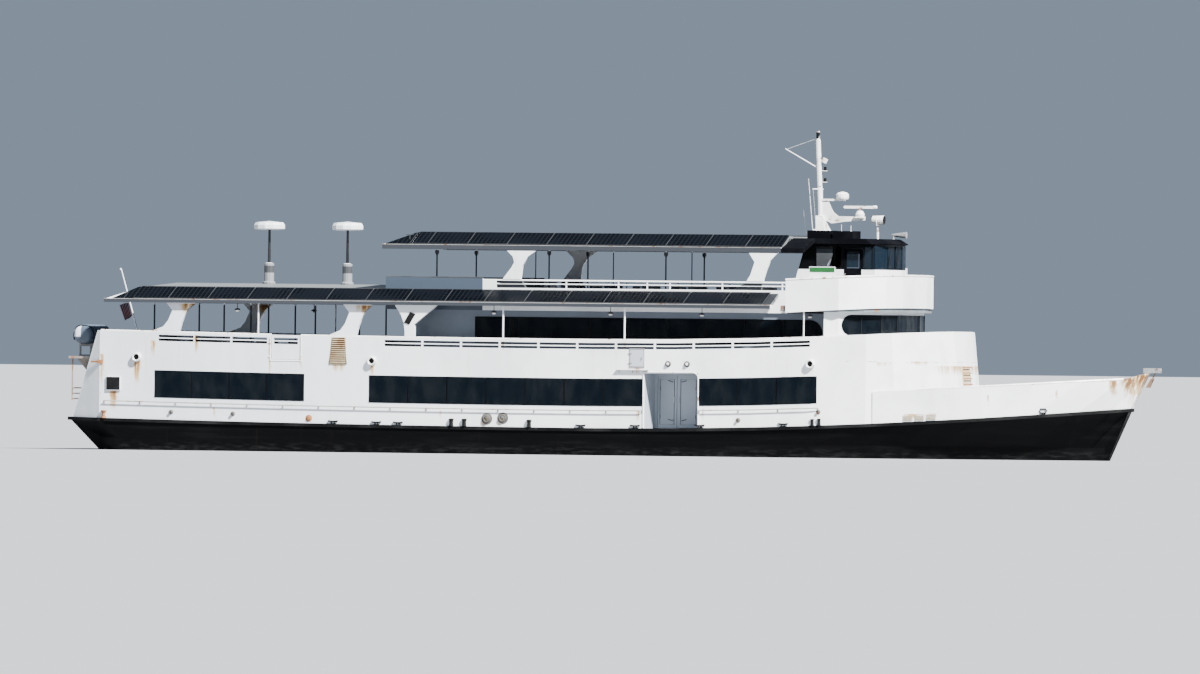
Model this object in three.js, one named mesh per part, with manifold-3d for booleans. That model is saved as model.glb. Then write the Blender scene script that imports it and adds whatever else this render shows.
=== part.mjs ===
// A three-deck passenger ferry, afloat. Millimetres, +Z up, bow along +X, port along +Y.
// The origin is on the waterline, on the centreline, at the middle of the length.
import * as THREE from "three";
import { mergeVertices } from "three/addons/utils/BufferGeometryUtils.js";
import Module from "manifold-3d";

const wasm = await Module();
wasm.setup();

// Driving dimensions
const GAP = 0.4; // clearance between pieces that touch
const SEAT_GAP = 0.3; // clearance between a pin's end and what it stands on
const BEAM = 4600; // half of the beam at the deck edge
const STERN_X = -19600; // aft end of the deck edge
const CORNER_X = -18300; // where the side turns into the stern corner
const STEM_X = 18490; // stem at the deck edge
const BOW_TIP_X = 19150; // bulwark at the stem head
const PLATE = 80; // side plating with its lining
const WALL = 60; // deckhouse walls
const DECK = 60; // deck plate with its beams
const SECOND_DECK = 2130; // top of the second deck above the deck edge
const BULWARK_TOP = 3150; // second-deck rail above the deck edge
const BULWARK_SOLID = 2830; // solid plating up to here, slots above
const HOUSE_HALF = 3600; // half-width of the upper saloon
const HOUSE_AFT = -6850;
const THIRD_DECK = 5150;
const BRIDGE_DECK = 5360;
const TOP_AFT = -7900; // aft end of the third deck
const BRIDGE_AFT = 6900;
const CANOPY_HALF = 4750;
const CANOPY_LOW = 5240;
const CANOPY_EDGE = 5350;
const UPPER_HALF = 3700;
const UPPER_LOW = 7230;
const UPPER_EDGE = 7380;

// Solids: every shape becomes a manifold, so pieces can be joined and cut.
function solid(geometry) {
  const bare = geometry.index ? geometry.toNonIndexed() : geometry.clone();
  bare.deleteAttribute("normal");
  bare.deleteAttribute("uv");
  const merged = mergeVertices(bare, 1e-3);
  const all = merged.index.array;
  const kept = [];
  for (let i = 0; i < all.length; i += 3) {
    const [a, b, c] = [all[i], all[i + 1], all[i + 2]];
    if (a !== b && b !== c && c !== a) kept.push(a, b, c);
  }
  const made = new wasm.Mesh({
    numProp: 3,
    vertProperties: new Float32Array(merged.attributes.position.array),
    triVerts: new Uint32Array(kept),
  });
  return new wasm.Manifold(made);
}

function geometryOf(manifold) {
  const mesh = manifold.getMesh();
  const geometry = new THREE.BufferGeometry();
  const position = new Float32Array(mesh.vertProperties);
  geometry.setAttribute("position", new THREE.BufferAttribute(position, 3));
  geometry.setIndex(Array.from(mesh.triVerts));
  return geometry;
}

const join = (...pieces) => pieces.flat().reduce((a, b) => a.add(b));
const cut = (base, ...tools) => tools.flat().reduce((a, b) => a.subtract(b), base);

// The same piece on the other side of the centreline.
function mirror(manifold) {
  const geometry = geometryOf(manifold);
  geometry.scale(1, -1, 1);
  const index = geometry.index.array;
  for (let i = 0; i < index.length; i += 3) [index[i], index[i + 1]] = [index[i + 1], index[i]];
  return solid(geometry);
}

function moved(manifold, dx, dy, dz) {
  return solid(geometryOf(manifold).translate(dx, dy, dz));
}

const box = (x0, x1, y0, y1, z0, z1) =>
  solid(
    new THREE.BoxGeometry(x1 - x0, y1 - y0, z1 - z0).translate(
      (x0 + x1) / 2,
      (y0 + y1) / 2,
      (z0 + z1) / 2,
    ),
  );

function extruded(points, depth) {
  const shape = new THREE.Shape(points.map(([a, b]) => new THREE.Vector2(a, b)));
  return new THREE.ExtrudeGeometry(shape, { depth, bevelEnabled: false });
}

// Outline in x and z, pushed through y; in y and z through x; in x and y through z.
const prismY = (points, y0, y1) =>
  solid(
    extruded(points, y1 - y0)
      .rotateX(Math.PI / 2)
      .translate(0, y1, 0),
  );
const ALONG_X = new THREE.Matrix4().makeBasis(
  new THREE.Vector3(0, 1, 0),
  new THREE.Vector3(0, 0, 1),
  new THREE.Vector3(1, 0, 0),
);
const prismX = (points, x0, x1) =>
  solid(
    extruded(points, x1 - x0)
      .applyMatrix4(ALONG_X)
      .translate(x0, 0, 0),
  );
const prismZ = (points, z0, z1) => solid(extruded(points, z1 - z0).translate(0, 0, z0));

function rod(from, to, radius, sides = 8, endRadius = radius) {
  const a = new THREE.Vector3(...from);
  const b = new THREE.Vector3(...to);
  const along = b.clone().sub(a);
  const geometry = new THREE.CylinderGeometry(endRadius, radius, along.length(), sides);
  const up = new THREE.Vector3(0, 1, 0);
  geometry.applyQuaternion(new THREE.Quaternion().setFromUnitVectors(up, along.clone().normalize()));
  const middle = a.add(b).multiplyScalar(0.5);
  return solid(geometry.translate(middle.x, middle.y, middle.z));
}

// Turned piece on a vertical axis from [radius, height] pairs.
function turned(profile, x, y, z, sides = 14) {
  const points = profile.map(([r, h]) => new THREE.Vector2(r, h));
  const geometry = new THREE.LatheGeometry(points, sides).rotateX(Math.PI / 2);
  return solid(geometry.translate(x, y, z));
}

// Rounded rectangle as points, anticlockwise.
function roundedRect(a0, a1, b0, b1, radius, steps = 2) {
  const corners = [
    [a1 - radius, b0 + radius, -90],
    [a1 - radius, b1 - radius, 0],
    [a0 + radius, b1 - radius, 90],
    [a0 + radius, b0 + radius, 180],
  ];
  return corners.flatMap(([ca, cb, start]) =>
    Array.from({ length: steps + 1 }, (_, k) => {
      const angle = ((start + (90 * k) / steps) * Math.PI) / 180;
      return [ca + radius * Math.cos(angle), cb + radius * Math.sin(angle)];
    }),
  );
}

// A skin over rings of equal point counts, closed by caps at both ends or into a loop.
function loft(rings, loop = false) {
  const count = rings[0].length;
  const position = rings.flat(2);
  const index = [];
  const spans = loop ? rings.length : rings.length - 1;
  for (let r = 0; r < spans; r += 1) {
    const here = r * count;
    const next = ((r + 1) % rings.length) * count;
    for (let k = 0; k < count; k += 1) {
      const m = (k + 1) % count;
      index.push(here + k, next + k, next + m, here + k, next + m, here + m);
    }
  }
  if (!loop) {
    for (const [ring, flip] of [
      [0, true],
      [rings.length - 1, false],
    ]) {
      const flat = flatten(rings[ring]);
      for (const [a, b, c] of THREE.ShapeUtils.triangulateShape(flat, [])) {
        const face = [a, b, c].map((k) => ring * count + k);
        index.push(...(flip ? face : face.reverse()));
      }
    }
  }
  const geometry = new THREE.BufferGeometry();
  geometry.setAttribute("position", new THREE.Float32BufferAttribute(position, 3));
  geometry.setIndex(index);
  return facingOut(geometry);
}

// A ring's points in its own plane, keeping their order of turning seen from the loft's far end.
function flatten(ring) {
  const normal = new THREE.Vector3();
  ring.forEach((p, k) => {
    const q = ring[(k + 1) % ring.length];
    normal.x += (p[1] - q[1]) * (p[2] + q[2]);
    normal.y += (p[2] - q[2]) * (p[0] + q[0]);
    normal.z += (p[0] - q[0]) * (p[1] + q[1]);
  });
  normal.normalize();
  const side = new THREE.Vector3(...ring[1]).sub(new THREE.Vector3(...ring[0])).normalize();
  const up = normal.clone().cross(side);
  return ring.map((p) => {
    const v = new THREE.Vector3(...p);
    return new THREE.Vector2(v.dot(side), v.dot(up));
  });
}

// Turns a closed skin so that its volume is positive.
function facingOut(geometry) {
  const p = geometry.attributes.position;
  const index = geometry.index.array;
  const [a, b, c] = [new THREE.Vector3(), new THREE.Vector3(), new THREE.Vector3()];
  let volume = 0;
  for (let i = 0; i < index.length; i += 3) {
    a.fromBufferAttribute(p, index[i]);
    b.fromBufferAttribute(p, index[i + 1]);
    c.fromBufferAttribute(p, index[i + 2]);
    volume += a.dot(b.cross(c));
  }
  if (volume < 0) {
    for (let i = 0; i < index.length; i += 3) [index[i], index[i + 1]] = [index[i + 1], index[i]];
  }
  return solid(geometry);
}

// Moves a line in plan to its right by a distance, with mitred corners.
function offset(points, distance, loop = false) {
  const last = points.length - 1;
  const normalOf = (p, q) => {
    const [dx, dy] = [q[0] - p[0], q[1] - p[1]];
    const length = Math.hypot(dx, dy);
    return [dy / length, -dx / length];
  };
  return points.map((p, k) => {
    const before = k > 0 ? points[k - 1] : loop ? points[last] : null;
    const after = k < last ? points[k + 1] : loop ? points[0] : null;
    const n1 = normalOf(before ?? p, before ? p : after);
    const n2 = normalOf(after ? p : before, after ?? p);
    const scale = distance / (1 + n1[0] * n2[0] + n1[1] * n2[1]);
    return [p[0] + (n1[0] + n2[0]) * scale, p[1] + (n1[1] + n2[1]) * scale];
  });
}

// A standing wall along a line in plan, from one offset to another, between two heights over x.
function wall(points, inner, outer, low, high, loop = false) {
  const inside = offset(points, inner, loop);
  const outside = offset(points, outer, loop);
  return loft(
    points.map((_, k) => {
      const [o, i] = [outside[k], inside[k]];
      return [
        [...o, low(o[0])],
        [...o, high(o[0])],
        [...i, high(i[0])],
        [...i, low(i[0])],
      ];
    }),
    loop,
  );
}

// A deck plate between mirrored edges, with its top at a height over x.
function plate(edge, top, thickness) {
  return loft(
    edge.map(([x, y]) => [
      [x, y, top(x)],
      [x, -y, top(x)],
      [x, -y, top(x) - thickness],
      [x, y, top(x) - thickness],
    ]),
  );
}

// The hull's lines
// deckX is the station at the deck edge, waterX and footX where the section meets the water and the
// keel, waterShare and chineShare its half-widths as shares of the deck's, then the two depths.
const HULL_ROWS = [
  [STERN_X, -18400, -18400, 0.985, 0.9, -330, -450],
  [CORNER_X, -17500, -17500, 0.99, 0.92, -430, -580],
  [-15000, -15000, -15000, 0.995, 0.94, -620, -820],
  [-12000, -12000, -12000, 1, 0.95, -950, -1230],
  [-9000, -9000, -9000, 1, 0.95, -1220, -1630],
  [-6000, -6000, -6000, 1, 0.96, -1350, -1850],
  [-3000, -3000, -3000, 1, 0.96, -1400, -1900],
  [0, 0, 0, 1, 0.96, -1400, -1900],
  [3000, 3000, 3000, 0.995, 0.95, -1400, -1900],
  [6000, 6000, 6000, 0.985, 0.92, -1400, -1900],
  [8000, 8000, 7980, 0.965, 0.86, -1390, -1900],
  [10000, 9950, 9900, 0.92, 0.77, -1370, -1900],
  [11200, 11100, 11000, 0.87, 0.69, -1350, -1900],
  [12400, 12250, 12100, 0.8, 0.6, -1320, -1890],
  [14000, 13750, 13500, 0.7, 0.48, -1280, -1880],
  [15500, 15150, 14800, 0.58, 0.36, -1230, -1850],
  [17000, 16400, 15980, 0.45, 0.25, -1150, -1780],
  [18000, 17150, 16650, 0.34, 0.18, -1050, -1650],
  [STEM_X, 17560, 17000, 0.5, 0.4, -950, -1500],
];
const WATER_Z = 450; // the knuckle of the sections, a little above the water
const STERN_HALF = 3950; // half-width at the aft end of the deck edge

// Deck edge height and half-width from their formulas, kept straight between stations.
const FULL_TO = 6000;
const sheerFormula = (x) => 920 + (x > 0 ? 2.6e-6 : 0.5e-6) * x * x;
const breadthFormula = (x) => {
  if (x <= FULL_TO) return BEAM;
  const share = (x - FULL_TO) / (STEM_X + 110 - FULL_TO);
  return BEAM * (1 - share ** 2.4) ** 0.8;
};
const STATIONS = HULL_ROWS.map(([x]) => x);
const HEIGHTS = STATIONS.map(sheerFormula);
const HALVES = STATIONS.map((x) => (x === STERN_X ? STERN_HALF : breadthFormula(x)));

function between(xs, values, x) {
  let k = 1;
  while (k < xs.length - 1 && x > xs[k]) k += 1;
  const share = (x - xs[k - 1]) / (xs[k] - xs[k - 1]);
  return values[k - 1] + (values[k] - values[k - 1]) * share;
}
const sheer = (x) => between(STATIONS, HEIGHTS, x);
const half = (x) => between(STATIONS, HALVES, x);
const above = (height) => (x) => sheer(x) + height;
const level = (height) => () => height;

// Starboard deck edge between two x, through every station on the way.
function edge(from, to) {
  const inside = STATIONS.filter((x) => x > from + 1 && x < to - 1);
  return [from, ...inside, to].map((x) => [x, -half(x)]);
}
// Both sides of a line that starts to starboard and ends at the bow.
const bothSides = (points) => [...points, ...points.map(([x, y]) => [x, -y]).reverse()];

function hullSection([deckX, waterX, footX, waterShare, chineShare, chineZ, keelZ]) {
  const deckHalf = half(deckX);
  const water = deckHalf * waterShare;
  const chine = deckHalf * chineShare;
  const side = [
    [waterX * 0.4 + footX * 0.6, chine, chineZ],
    [waterX, (water + chine) / 2 + water * 0.02, chineZ * 0.35],
    [waterX, water, WATER_Z],
    [deckX, deckHalf, sheer(deckX)],
  ];
  return [
    [footX, 0, keelZ],
    ...side.map(([x, y, z]) => [x, -y, z]),
    [deckX, 0, sheer(deckX)],
  ];
}

// Materials
const look = (color, roughness, metalness = 0) =>
  new THREE.MeshStandardMaterial({ color, roughness, metalness });
const white = look("#e9ecea", 0.45);
const black = look("#0c0e11", 0.5);
const deckGrey = look("#6d7680", 0.8);
const glass = look("#10161c", 0.08);
const panelBlue = look("#10151d", 0.25);
const steel = look("#b9bcbc", 0.4, 0.6);
const bronze = look("#9a7a3c", 0.35, 0.9);
const seatGrey = look("#5d6d7e", 0.7);
const coverBlue = look("#7e93a8", 0.85);
const rust = look("#8a5a34", 0.85);

const ferry = new THREE.Group();
function part(name, manifold, material) {
  const mesh = new THREE.Mesh(geometryOf(manifold), material.clone());
  mesh.name = name;
  ferry.add(mesh);
}
// One piece to starboard and its mirror image to port.
function pair(name, manifold, material) {
  part(`${name}_starboard`, manifold, material);
  part(`${name}_port`, mirror(manifold), material);
}

// Hull with its skeg
const SKEG = { from: -14500, to: -5200, half: 70, depth: -1900 };
const hullSide = loft(HULL_ROWS.map(hullSection));
const hull = join(
  hullSide,
  mirror(hullSide),
  prismY(
    [
      [SKEG.from, -600],
      [SKEG.from + 300, SKEG.depth],
      [SKEG.to, SKEG.depth],
      [SKEG.to, -600],
    ],
    -SKEG.half,
    SKEG.half,
  ),
);
part("hull", hull, black);

const RUB = { below: 70, above: 45, out: 55 };
const deckOutline = bothSides(edge(STERN_X, STEM_X));
part("rub_rail", wall(deckOutline, GAP, RUB.out, above(-RUB.below), above(RUB.above), true), white);

// Openings in the side, all in x, and in height above the deck edge
const WINDOW = { low: 830, high: 1780, gap: 110, radius: 130 };
const LOWER_STRIPS = [
  // from, to, windows
  [-16220, -10660, 4],
  [-8250, 1870, 7],
  [3910, 8250, 3],
];
const SLOTS = [
  // from, to, bays
  [-16100, -12050, 3],
  [-7700, 8000, 11],
];
const GATE = { from: -11900, to: -10820, low: 2280 };
const RECESS = { from: 1920, to: 3910, top: 1980, depth: 1300 };

// Cutter through the starboard side between two x and two heights over x.
function sideCutter(from, to, low, high, inner = -400, outer = 200) {
  return wall(edge(from, to), inner, outer, above(low), above(high));
}

function windowsIn([from, to, count], low, high, radius, y0, y1) {
  const pitch = (to - from) / count;
  return Array.from({ length: count }, (_, k) => {
    const start = from + k * pitch + WINDOW.gap / 2;
    const end = start + pitch - WINDOW.gap;
    const lift = sheer((start + end) / 2);
    return prismY(roundedRect(start, end, lift + low, lift + high, radius), y0, y1);
  });
}

function railSlots([from, to, bays]) {
  const post = 60;
  const pitch = (to - from + post) / bays;
  const rows = [
    [BULWARK_SOLID, BULWARK_SOLID + 90],
    [BULWARK_SOLID + 130, BULWARK_TOP - 100],
  ];
  return Array.from({ length: bays }, (_, k) => from + k * pitch).flatMap((start) =>
    rows.map(([low, high]) => sideCutter(start, start + pitch - post, low, high)),
  );
}

const SIDE_AFT = -18280;
const SIDE_FORE = 9300;
const recessCut = sideCutter(RECESS.from, RECESS.to, -50, RECESS.top);
const sidePlating = cut(
  wall(edge(SIDE_AFT, SIDE_FORE), -PLATE, 0, above(GAP), above(BULWARK_TOP)),
  LOWER_STRIPS.flatMap((strip) =>
    windowsIn(strip, WINDOW.low, WINDOW.high, WINDOW.radius, -BEAM - 300, -BEAM + 700),
  ),
  SLOTS.flatMap(railSlots),
  sideCutter(GATE.from, GATE.to, GATE.low, BULWARK_TOP + 100),
  recessCut,
);
pair("side_plating", sidePlating, white);

// Stern plating: corner facets and a transom that leans forward as it rises
const STERN_FOOT_X = -19450;
const STERN_FOOT_HALF = 4000;
const STERN_HEAD_HALF = 4560;
const sternHead = sheer(SIDE_AFT) + BULWARK_TOP;
const sternFoot = (x) => sheer(x) + GAP;
function sternRing(x, halfWidth, z, inset) {
  const line = [
    [SIDE_AFT - GAP, half(SIDE_AFT)],
    [x, halfWidth],
    [x, -halfWidth],
    [SIDE_AFT - GAP, -half(SIDE_AFT)],
  ];
  const inner = [
    [SIDE_AFT - GAP, half(SIDE_AFT) - inset],
    [x + inset, halfWidth - inset * 0.6],
    [x + inset, -halfWidth + inset * 0.6],
    [SIDE_AFT - GAP, -half(SIDE_AFT) + inset],
  ];
  return [...line, ...inner.reverse()].map(([px, py]) => [px, py, z ?? sternFoot(px)]);
}
const HEAD_SETBACK = 60; // the stern's head lies this far aft of the side plating's end
const sternShell = loft([
  sternRing(STERN_FOOT_X, STERN_FOOT_HALF, null, PLATE),
  sternRing(SIDE_AFT - HEAD_SETBACK - 40, STERN_HEAD_HALF, sternHead, PLATE - 30),
]);
const STERN_GATEWAY = [700, 1700]; // the gateway to the stern platform, in y
const sternWindows = [-2900, -900, 1100].map((y) =>
  prismX(roundedRect(y, y + 1800, sheer(-19000) + 900, sheer(-19000) + 1700, WINDOW.radius), -19600, -18500),
);
const sternPlating = cut(
  sternShell,
  sternWindows,
  box(-19000, -18000, ...STERN_GATEWAY, sternHead - 900, sternHead + 100),
);
part("stern_plating", sternPlating, white);

// House front: the side turns in to a rounded front; it leans aft as it rises
const FRONT_CURVE = [
  [SIDE_FORE + GAP, -half(SIDE_FORE + GAP)],
  [10000, -half(10000)],
  [10900, -4050],
  [11650, -3350],
  [12150, -2300],
  [12380, -1150],
];
const FRONT_LEAN = 0.1; // x lost for each unit of height above the second deck
const leanFrom = 10000;
function leaned(manifold) {
  const geometry = geometryOf(manifold);
  const p = geometry.attributes.position;
  for (let k = 0; k < p.count; k += 1) {
    const [x, z] = [p.getX(k), p.getZ(k)];
    const share = Math.min(1, Math.max(0, (x - leanFrom) / 1900));
    const leanX = x - share * FRONT_LEAN * (z - sheer(x) - SECOND_DECK);
    p.setX(k, leanX);
    p.setZ(k, z + sheer(leanX) - sheer(x));
  }
  return solid(geometry);
}
const frontPlating = leaned(
  wall(bothSides(FRONT_CURVE), -PLATE, 0, above(GAP), above(BULWARK_TOP + 40)),
);
part("house_front_plating", frontPlating, white);

// Bow bulwark: from the house front along the deck edge to the stem, flared at the top
const BOW_TOP_AFT = 1170; // height above the deck edge at its aft end
const TIP_RISE = 200; // the stem head stands this far above the line of the rail
const bowLine = edge(10250, STEM_X);
function bowRing(x, y, inset) {
  const t = Math.max(0, (x - 10000) / (STEM_X - 10000));
  const flareX = (BOW_TIP_X - STEM_X) * t ** 6;
  const flareY = 260 * t;
  const topZ = sheer(x) + BOW_TOP_AFT - 60 * t + (t < 1 ? 0 : TIP_RISE);
  const side = Math.sign(y);
  const low = Math.max(Math.abs(y) - inset, 20 + (x - 18000) * 0.02);
  const high = Math.max((t < 1 ? Math.abs(y) + flareY : 120) - inset, 55);
  return [
    [x - (t < 1 ? 0 : inset), side * low, sheer(x) + GAP],
    [x + flareX - (t < 1 ? 0 : inset), side * high, topZ],
  ];
}
const bowRings = bothSides(bowLine).map(([x, y]) => {
  const outer = bowRing(x, y, 0);
  const inner = bowRing(x, y, PLATE - 10);
  return [outer[0], outer[1], inner[1], inner[0]];
});
const frontRoom = leaned(
  wall(bothSides(FRONT_CURVE), -PLATE - 60, 2 * GAP, above(-2 * GAP), above(BULWARK_TOP + 40)),
);
const railRoomAtBow = wall(deckOutline, 0, 400, above(-200), above(RUB.above + GAP), true);
part("bow_bulwark", cut(loft(bowRings), frontRoom, railRoomAtBow), white);

// Boarding vestibules: side walls, back wall with the door opening, and a ceiling
const DOOR = { from: 2030, middle: 2745, to: 3540, high: 1900, sill: 60, thick: 45, air: 7 };
const BACK_Y = -(BEAM - PLATE) + RECESS.depth; // saloon face of the back wall
const recessBox = (grow, low, high) =>
  box(
    RECESS.from - grow,
    RECESS.to + grow,
    -(BEAM - PLATE) + GAP,
    BACK_Y + grow - WALL,
    low,
    high,
  );
const deckHere = sheer(3000);
const vestibule = cut(
  recessBox(WALL, 800, deckHere + RECESS.top + WALL),
  box(
    RECESS.from,
    RECESS.to,
    -BEAM,
    BACK_Y - WALL,
    0,
    deckHere + RECESS.top,
  ),
  box(DOOR.from, DOOR.to, -BEAM, -2000, deckHere + DOOR.sill, deckHere + DOOR.high),
  moved(hull, 0, 0, GAP),
);
pair("vestibule", vestibule, white);

// A leaf on a vertical pivot: half-round about the pivot, square at its free end, with a pin at
// its foot and, where there is a head over it, one at its top.
function leafOn([px, py], [ux, uy], length, thick, low, high) {
  const half = thick / 2;
  const at = (along, across) => [px + ux * along - uy * across, py + uy * along + ux * across];
  const round = Array.from({ length: 6 }, (_, k) => {
    const angle = (k / 5) * Math.PI;
    return at(-half * Math.sin(angle), half * Math.cos(angle));
  });
  return prismZ([at(length, -half), at(length, half), ...round], low, high);
}
const PIN = 10;
const pin = ([px, py], from, to) => rod([px, py, from], [px, py, to], PIN);
const LEAF_Y = BACK_Y - WALL + 5 + DOOR.thick / 2;
function doorLeaf(pivotX, along, reach) {
  const pivot = [pivotX, LEAF_Y];
  const handleX = pivotX + along * (reach - 83);
  const [sill, head] = [deckHere + DOOR.sill, deckHere + DOOR.high];
  return join(
    leafOn(pivot, [along, 0], reach, DOOR.thick, sill + DOOR.air, head - DOOR.air),
    pin(pivot, sill + SEAT_GAP, sill + 2 * DOOR.air),
    pin(pivot, head - 2 * DOOR.air, head - SEAT_GAP),
    box(handleX - 15, handleX + 15, BACK_Y - WALL - 35, BACK_Y - WALL + 20, deckHere + 950, deckHere + 1150),
  );
}
const hingeIn = DOOR.air + DOOR.thick / 2; // from the jamb to the pivot
const leafReach = (room) => room - hingeIn - DOOR.air;
const aftLeaf = doorLeaf(DOOR.from + hingeIn, 1, leafReach(DOOR.middle - DOOR.from));
const foreLeaf = doorLeaf(DOOR.to - hingeIn, -1, leafReach(DOOR.to - DOOR.middle));
pair("boarding_door_aft", aftLeaf, white);
pair("boarding_door_fore", foreLeaf, white);

// Gates in the second-deck bulwark
const GATE_LEAF = { thick: 50, air: 8, inset: 40 };
const gatePivot = [GATE.from + GATE_LEAF.air + GATE_LEAF.thick / 2, -BEAM + GATE_LEAF.inset];
const gateReach = GATE.to - GATE_LEAF.air - gatePivot[0];
const gateSill = sheer(gatePivot[0]) + GATE.low;
const gateBand = wall(
  edge(GATE.from - 50, GATE.to + 50),
  -200,
  100,
  above(GATE.low + GATE_LEAF.air),
  above(BULWARK_TOP),
);
const gate = cut(
  join(
    leafOn(gatePivot, [1, 0], gateReach, GATE_LEAF.thick, 2000, 5000).intersect(gateBand),
    pin(gatePivot, gateSill + SEAT_GAP + 0.15, gateSill + 2 * GATE_LEAF.air),
  ),
  sideCutter(GATE.from + 90, GATE.to - 90, BULWARK_SOLID, BULWARK_SOLID + 90),
  sideCutter(GATE.from + 90, GATE.to - 90, BULWARK_SOLID + 130, BULWARK_TOP - 100),
);
pair("bulwark_gate", gate, white);

// Second deck, inside the plating all round
const deckInset = -PLATE - GAP;
const sideInner = offset(edge(SIDE_AFT, SIDE_FORE), deckInset);
const secondDeckEdge = [[-18560, -4150], ...sideInner, ...FRONT_CURVE.slice(1)];
const frontFace = leaned(
  wall(bothSides(FRONT_CURVE), deckInset, 300, above(GAP), above(BULWARK_TOP + 40)),
);
const secondDeck = cut(plate(secondDeckEdge, above(SECOND_DECK), DECK), frontFace);
part("second_deck", secondDeck, deckGrey);

// Upper saloon
const HOUSE_FORE = 8350;
const UPPER_STRIP = { from: -4650, to: 8150, low: 3960, high: 4850 };
const HOUSE_TOP = THIRD_DECK - DECK - GAP;
function houseSideOutline() {
  const foot = above(SECOND_DECK + GAP);
  const xs = STATIONS.filter((x) => x > HOUSE_AFT && x < HOUSE_FORE);
  return [
    [HOUSE_FORE, foot(HOUSE_FORE)],
    [HOUSE_FORE, HOUSE_TOP],
    [HOUSE_AFT, HOUSE_TOP],
    [HOUSE_AFT, foot(HOUSE_AFT)],
    ...xs.map((x) => [x, foot(x)]),
  ];
}
const upperWindows = Array.from({ length: 9 }, (_, k) => {
  const pitch = (UPPER_STRIP.to - UPPER_STRIP.from) / 9;
  const start = UPPER_STRIP.from + k * pitch + 90;
  return prismY(
    roundedRect(start, start + pitch - 180, UPPER_STRIP.low + 70, UPPER_STRIP.high - 70, 180),
    -HOUSE_HALF - 100,
    -HOUSE_HALF + 200,
  );
});
pair(
  "saloon_side",
  cut(prismY(houseSideOutline(), -HOUSE_HALF, -HOUSE_HALF + WALL), upperWindows),
  white,
);
const strip = (from, to, low, high, radius) => {
  const steps = 6;
  const round = Array.from({ length: steps + 1 }, (_, k) => {
    const angle = -Math.PI / 2 + (Math.PI * k) / steps;
    return [to - radius + radius * Math.cos(angle), (low + high) / 2 + radius * Math.sin(angle)];
  });
  return [[from, low], ...round, [from, high]];
};
const GLASS = 12;
const upperGlass = prismY(
  strip(UPPER_STRIP.from, UPPER_STRIP.to, UPPER_STRIP.low, UPPER_STRIP.high, 445),
  -HOUSE_HALF - GAP - GLASS,
  -HOUSE_HALF - GAP,
);
pair("saloon_glass", upperGlass, glass);

// Forward end of the saloon: its side steps out to the ship's side and wraps round the front
const WRAP_CURVE = [
  [HOUSE_FORE + GAP, -HOUSE_HALF - 20],
  [HOUSE_FORE + 100, -4380],
  [8950, -4250],
  [9600, -3650],
  [10050, -2700],
  [10250, -1400],
];
const WRAP_TOP = THIRD_DECK - GAP;
const wrapCurve = bothSides(WRAP_CURVE);
const wrapWall = wall(wrapCurve, -WALL, 0, above(SECOND_DECK + GAP), level(WRAP_TOP));
const wrapGlassLine = bothSides([
  [8950, -4250],
  [9600, -3650],
  [10050, -2700],
  [10250, -1400],
]);
const wrapLow = (x) => 4270 + (x - 8900) * 0.12;
const wrapHigh = level(5060);
const WRAP_END = { x: 9340, z: 4690, wide: 300, high: 375 };
// What lies aft of the glass's rounded end, drawn in by an inset
function aftOfWrap(inset) {
  const oval = new THREE.EllipseCurve(
    WRAP_END.x,
    WRAP_END.z,
    WRAP_END.wide - inset,
    WRAP_END.high - inset,
  );
  const round = oval.getPoints(16).slice(0, -1).map((p) => [p.x, p.y]);
  const bulge = prismY(round, -5000, -3000);
  const end = cut(box(8500, WRAP_END.x, -4900, -3500, 4000, 5300), bulge);
  return [end, mirror(end)];
}
const wrapCut = wall(wrapGlassLine, -300, 300, (x) => wrapLow(x) + 60, level(5000));
part("saloon_front", cut(wrapWall, cut(wrapCut, aftOfWrap(60))), white);
const wrapGlass = wall(wrapGlassLine, GAP, GAP + GLASS, wrapLow, wrapHigh);
part("saloon_front_glass", cut(wrapGlass, aftOfWrap(0)), glass);

// Aft bulkhead of the saloon with its door
const AFT_DOOR = { half: 450, high: 1850, thick: 45, air: 8 };
const aftDeck = sheer(HOUSE_AFT) + SECOND_DECK;
const AFT_WALL_HALF = HOUSE_HALF - WALL - GAP;
const saloonAft = cut(
  box(HOUSE_AFT + 100, HOUSE_AFT + 100 + WALL, -AFT_WALL_HALF, AFT_WALL_HALF, aftDeck + GAP, HOUSE_TOP),
  box(
    HOUSE_AFT,
    HOUSE_AFT + 400,
    -AFT_DOOR.half,
    AFT_DOOR.half,
    aftDeck + DOOR.sill,
    aftDeck + AFT_DOOR.high,
  ),
  [-2900, 1300].map((y) =>
    prismX(roundedRect(y, y + 1600, aftDeck + 900, aftDeck + 1650, 150), HOUSE_AFT, HOUSE_AFT + 400),
  ),
);
part("saloon_aft_bulkhead", saloonAft, white);
const aftDoorTop = aftDeck + AFT_DOOR.high - AFT_DOOR.air;
const aftSill = aftDeck + DOOR.sill;
const aftPivot = [
  HOUSE_AFT + 105 + AFT_DOOR.thick / 2,
  -AFT_DOOR.half + AFT_DOOR.air + AFT_DOOR.thick / 2,
];
const aftReach = AFT_DOOR.half - AFT_DOOR.air - aftPivot[1];
const aftDoor = join(
  leafOn(aftPivot, [0, 1], aftReach, AFT_DOOR.thick, aftSill + AFT_DOOR.air, aftDoorTop),
  pin(aftPivot, aftSill + SEAT_GAP, aftSill + 2 * AFT_DOOR.air),
  pin(aftPivot, aftDoorTop - AFT_DOOR.air, aftDeck + AFT_DOOR.high - SEAT_GAP),
  box(HOUSE_AFT + 50, HOUSE_AFT + 120, 330, 360, aftDeck + 950, aftDeck + 1150),
);
part(
  "saloon_aft_door",
  cut(
    aftDoor,
    prismX(roundedRect(-220, 220, aftDeck + 1250, aftDoorTop - 120, 120), HOUSE_AFT, HOUSE_AFT + 400),
  ),
  white,
);

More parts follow.
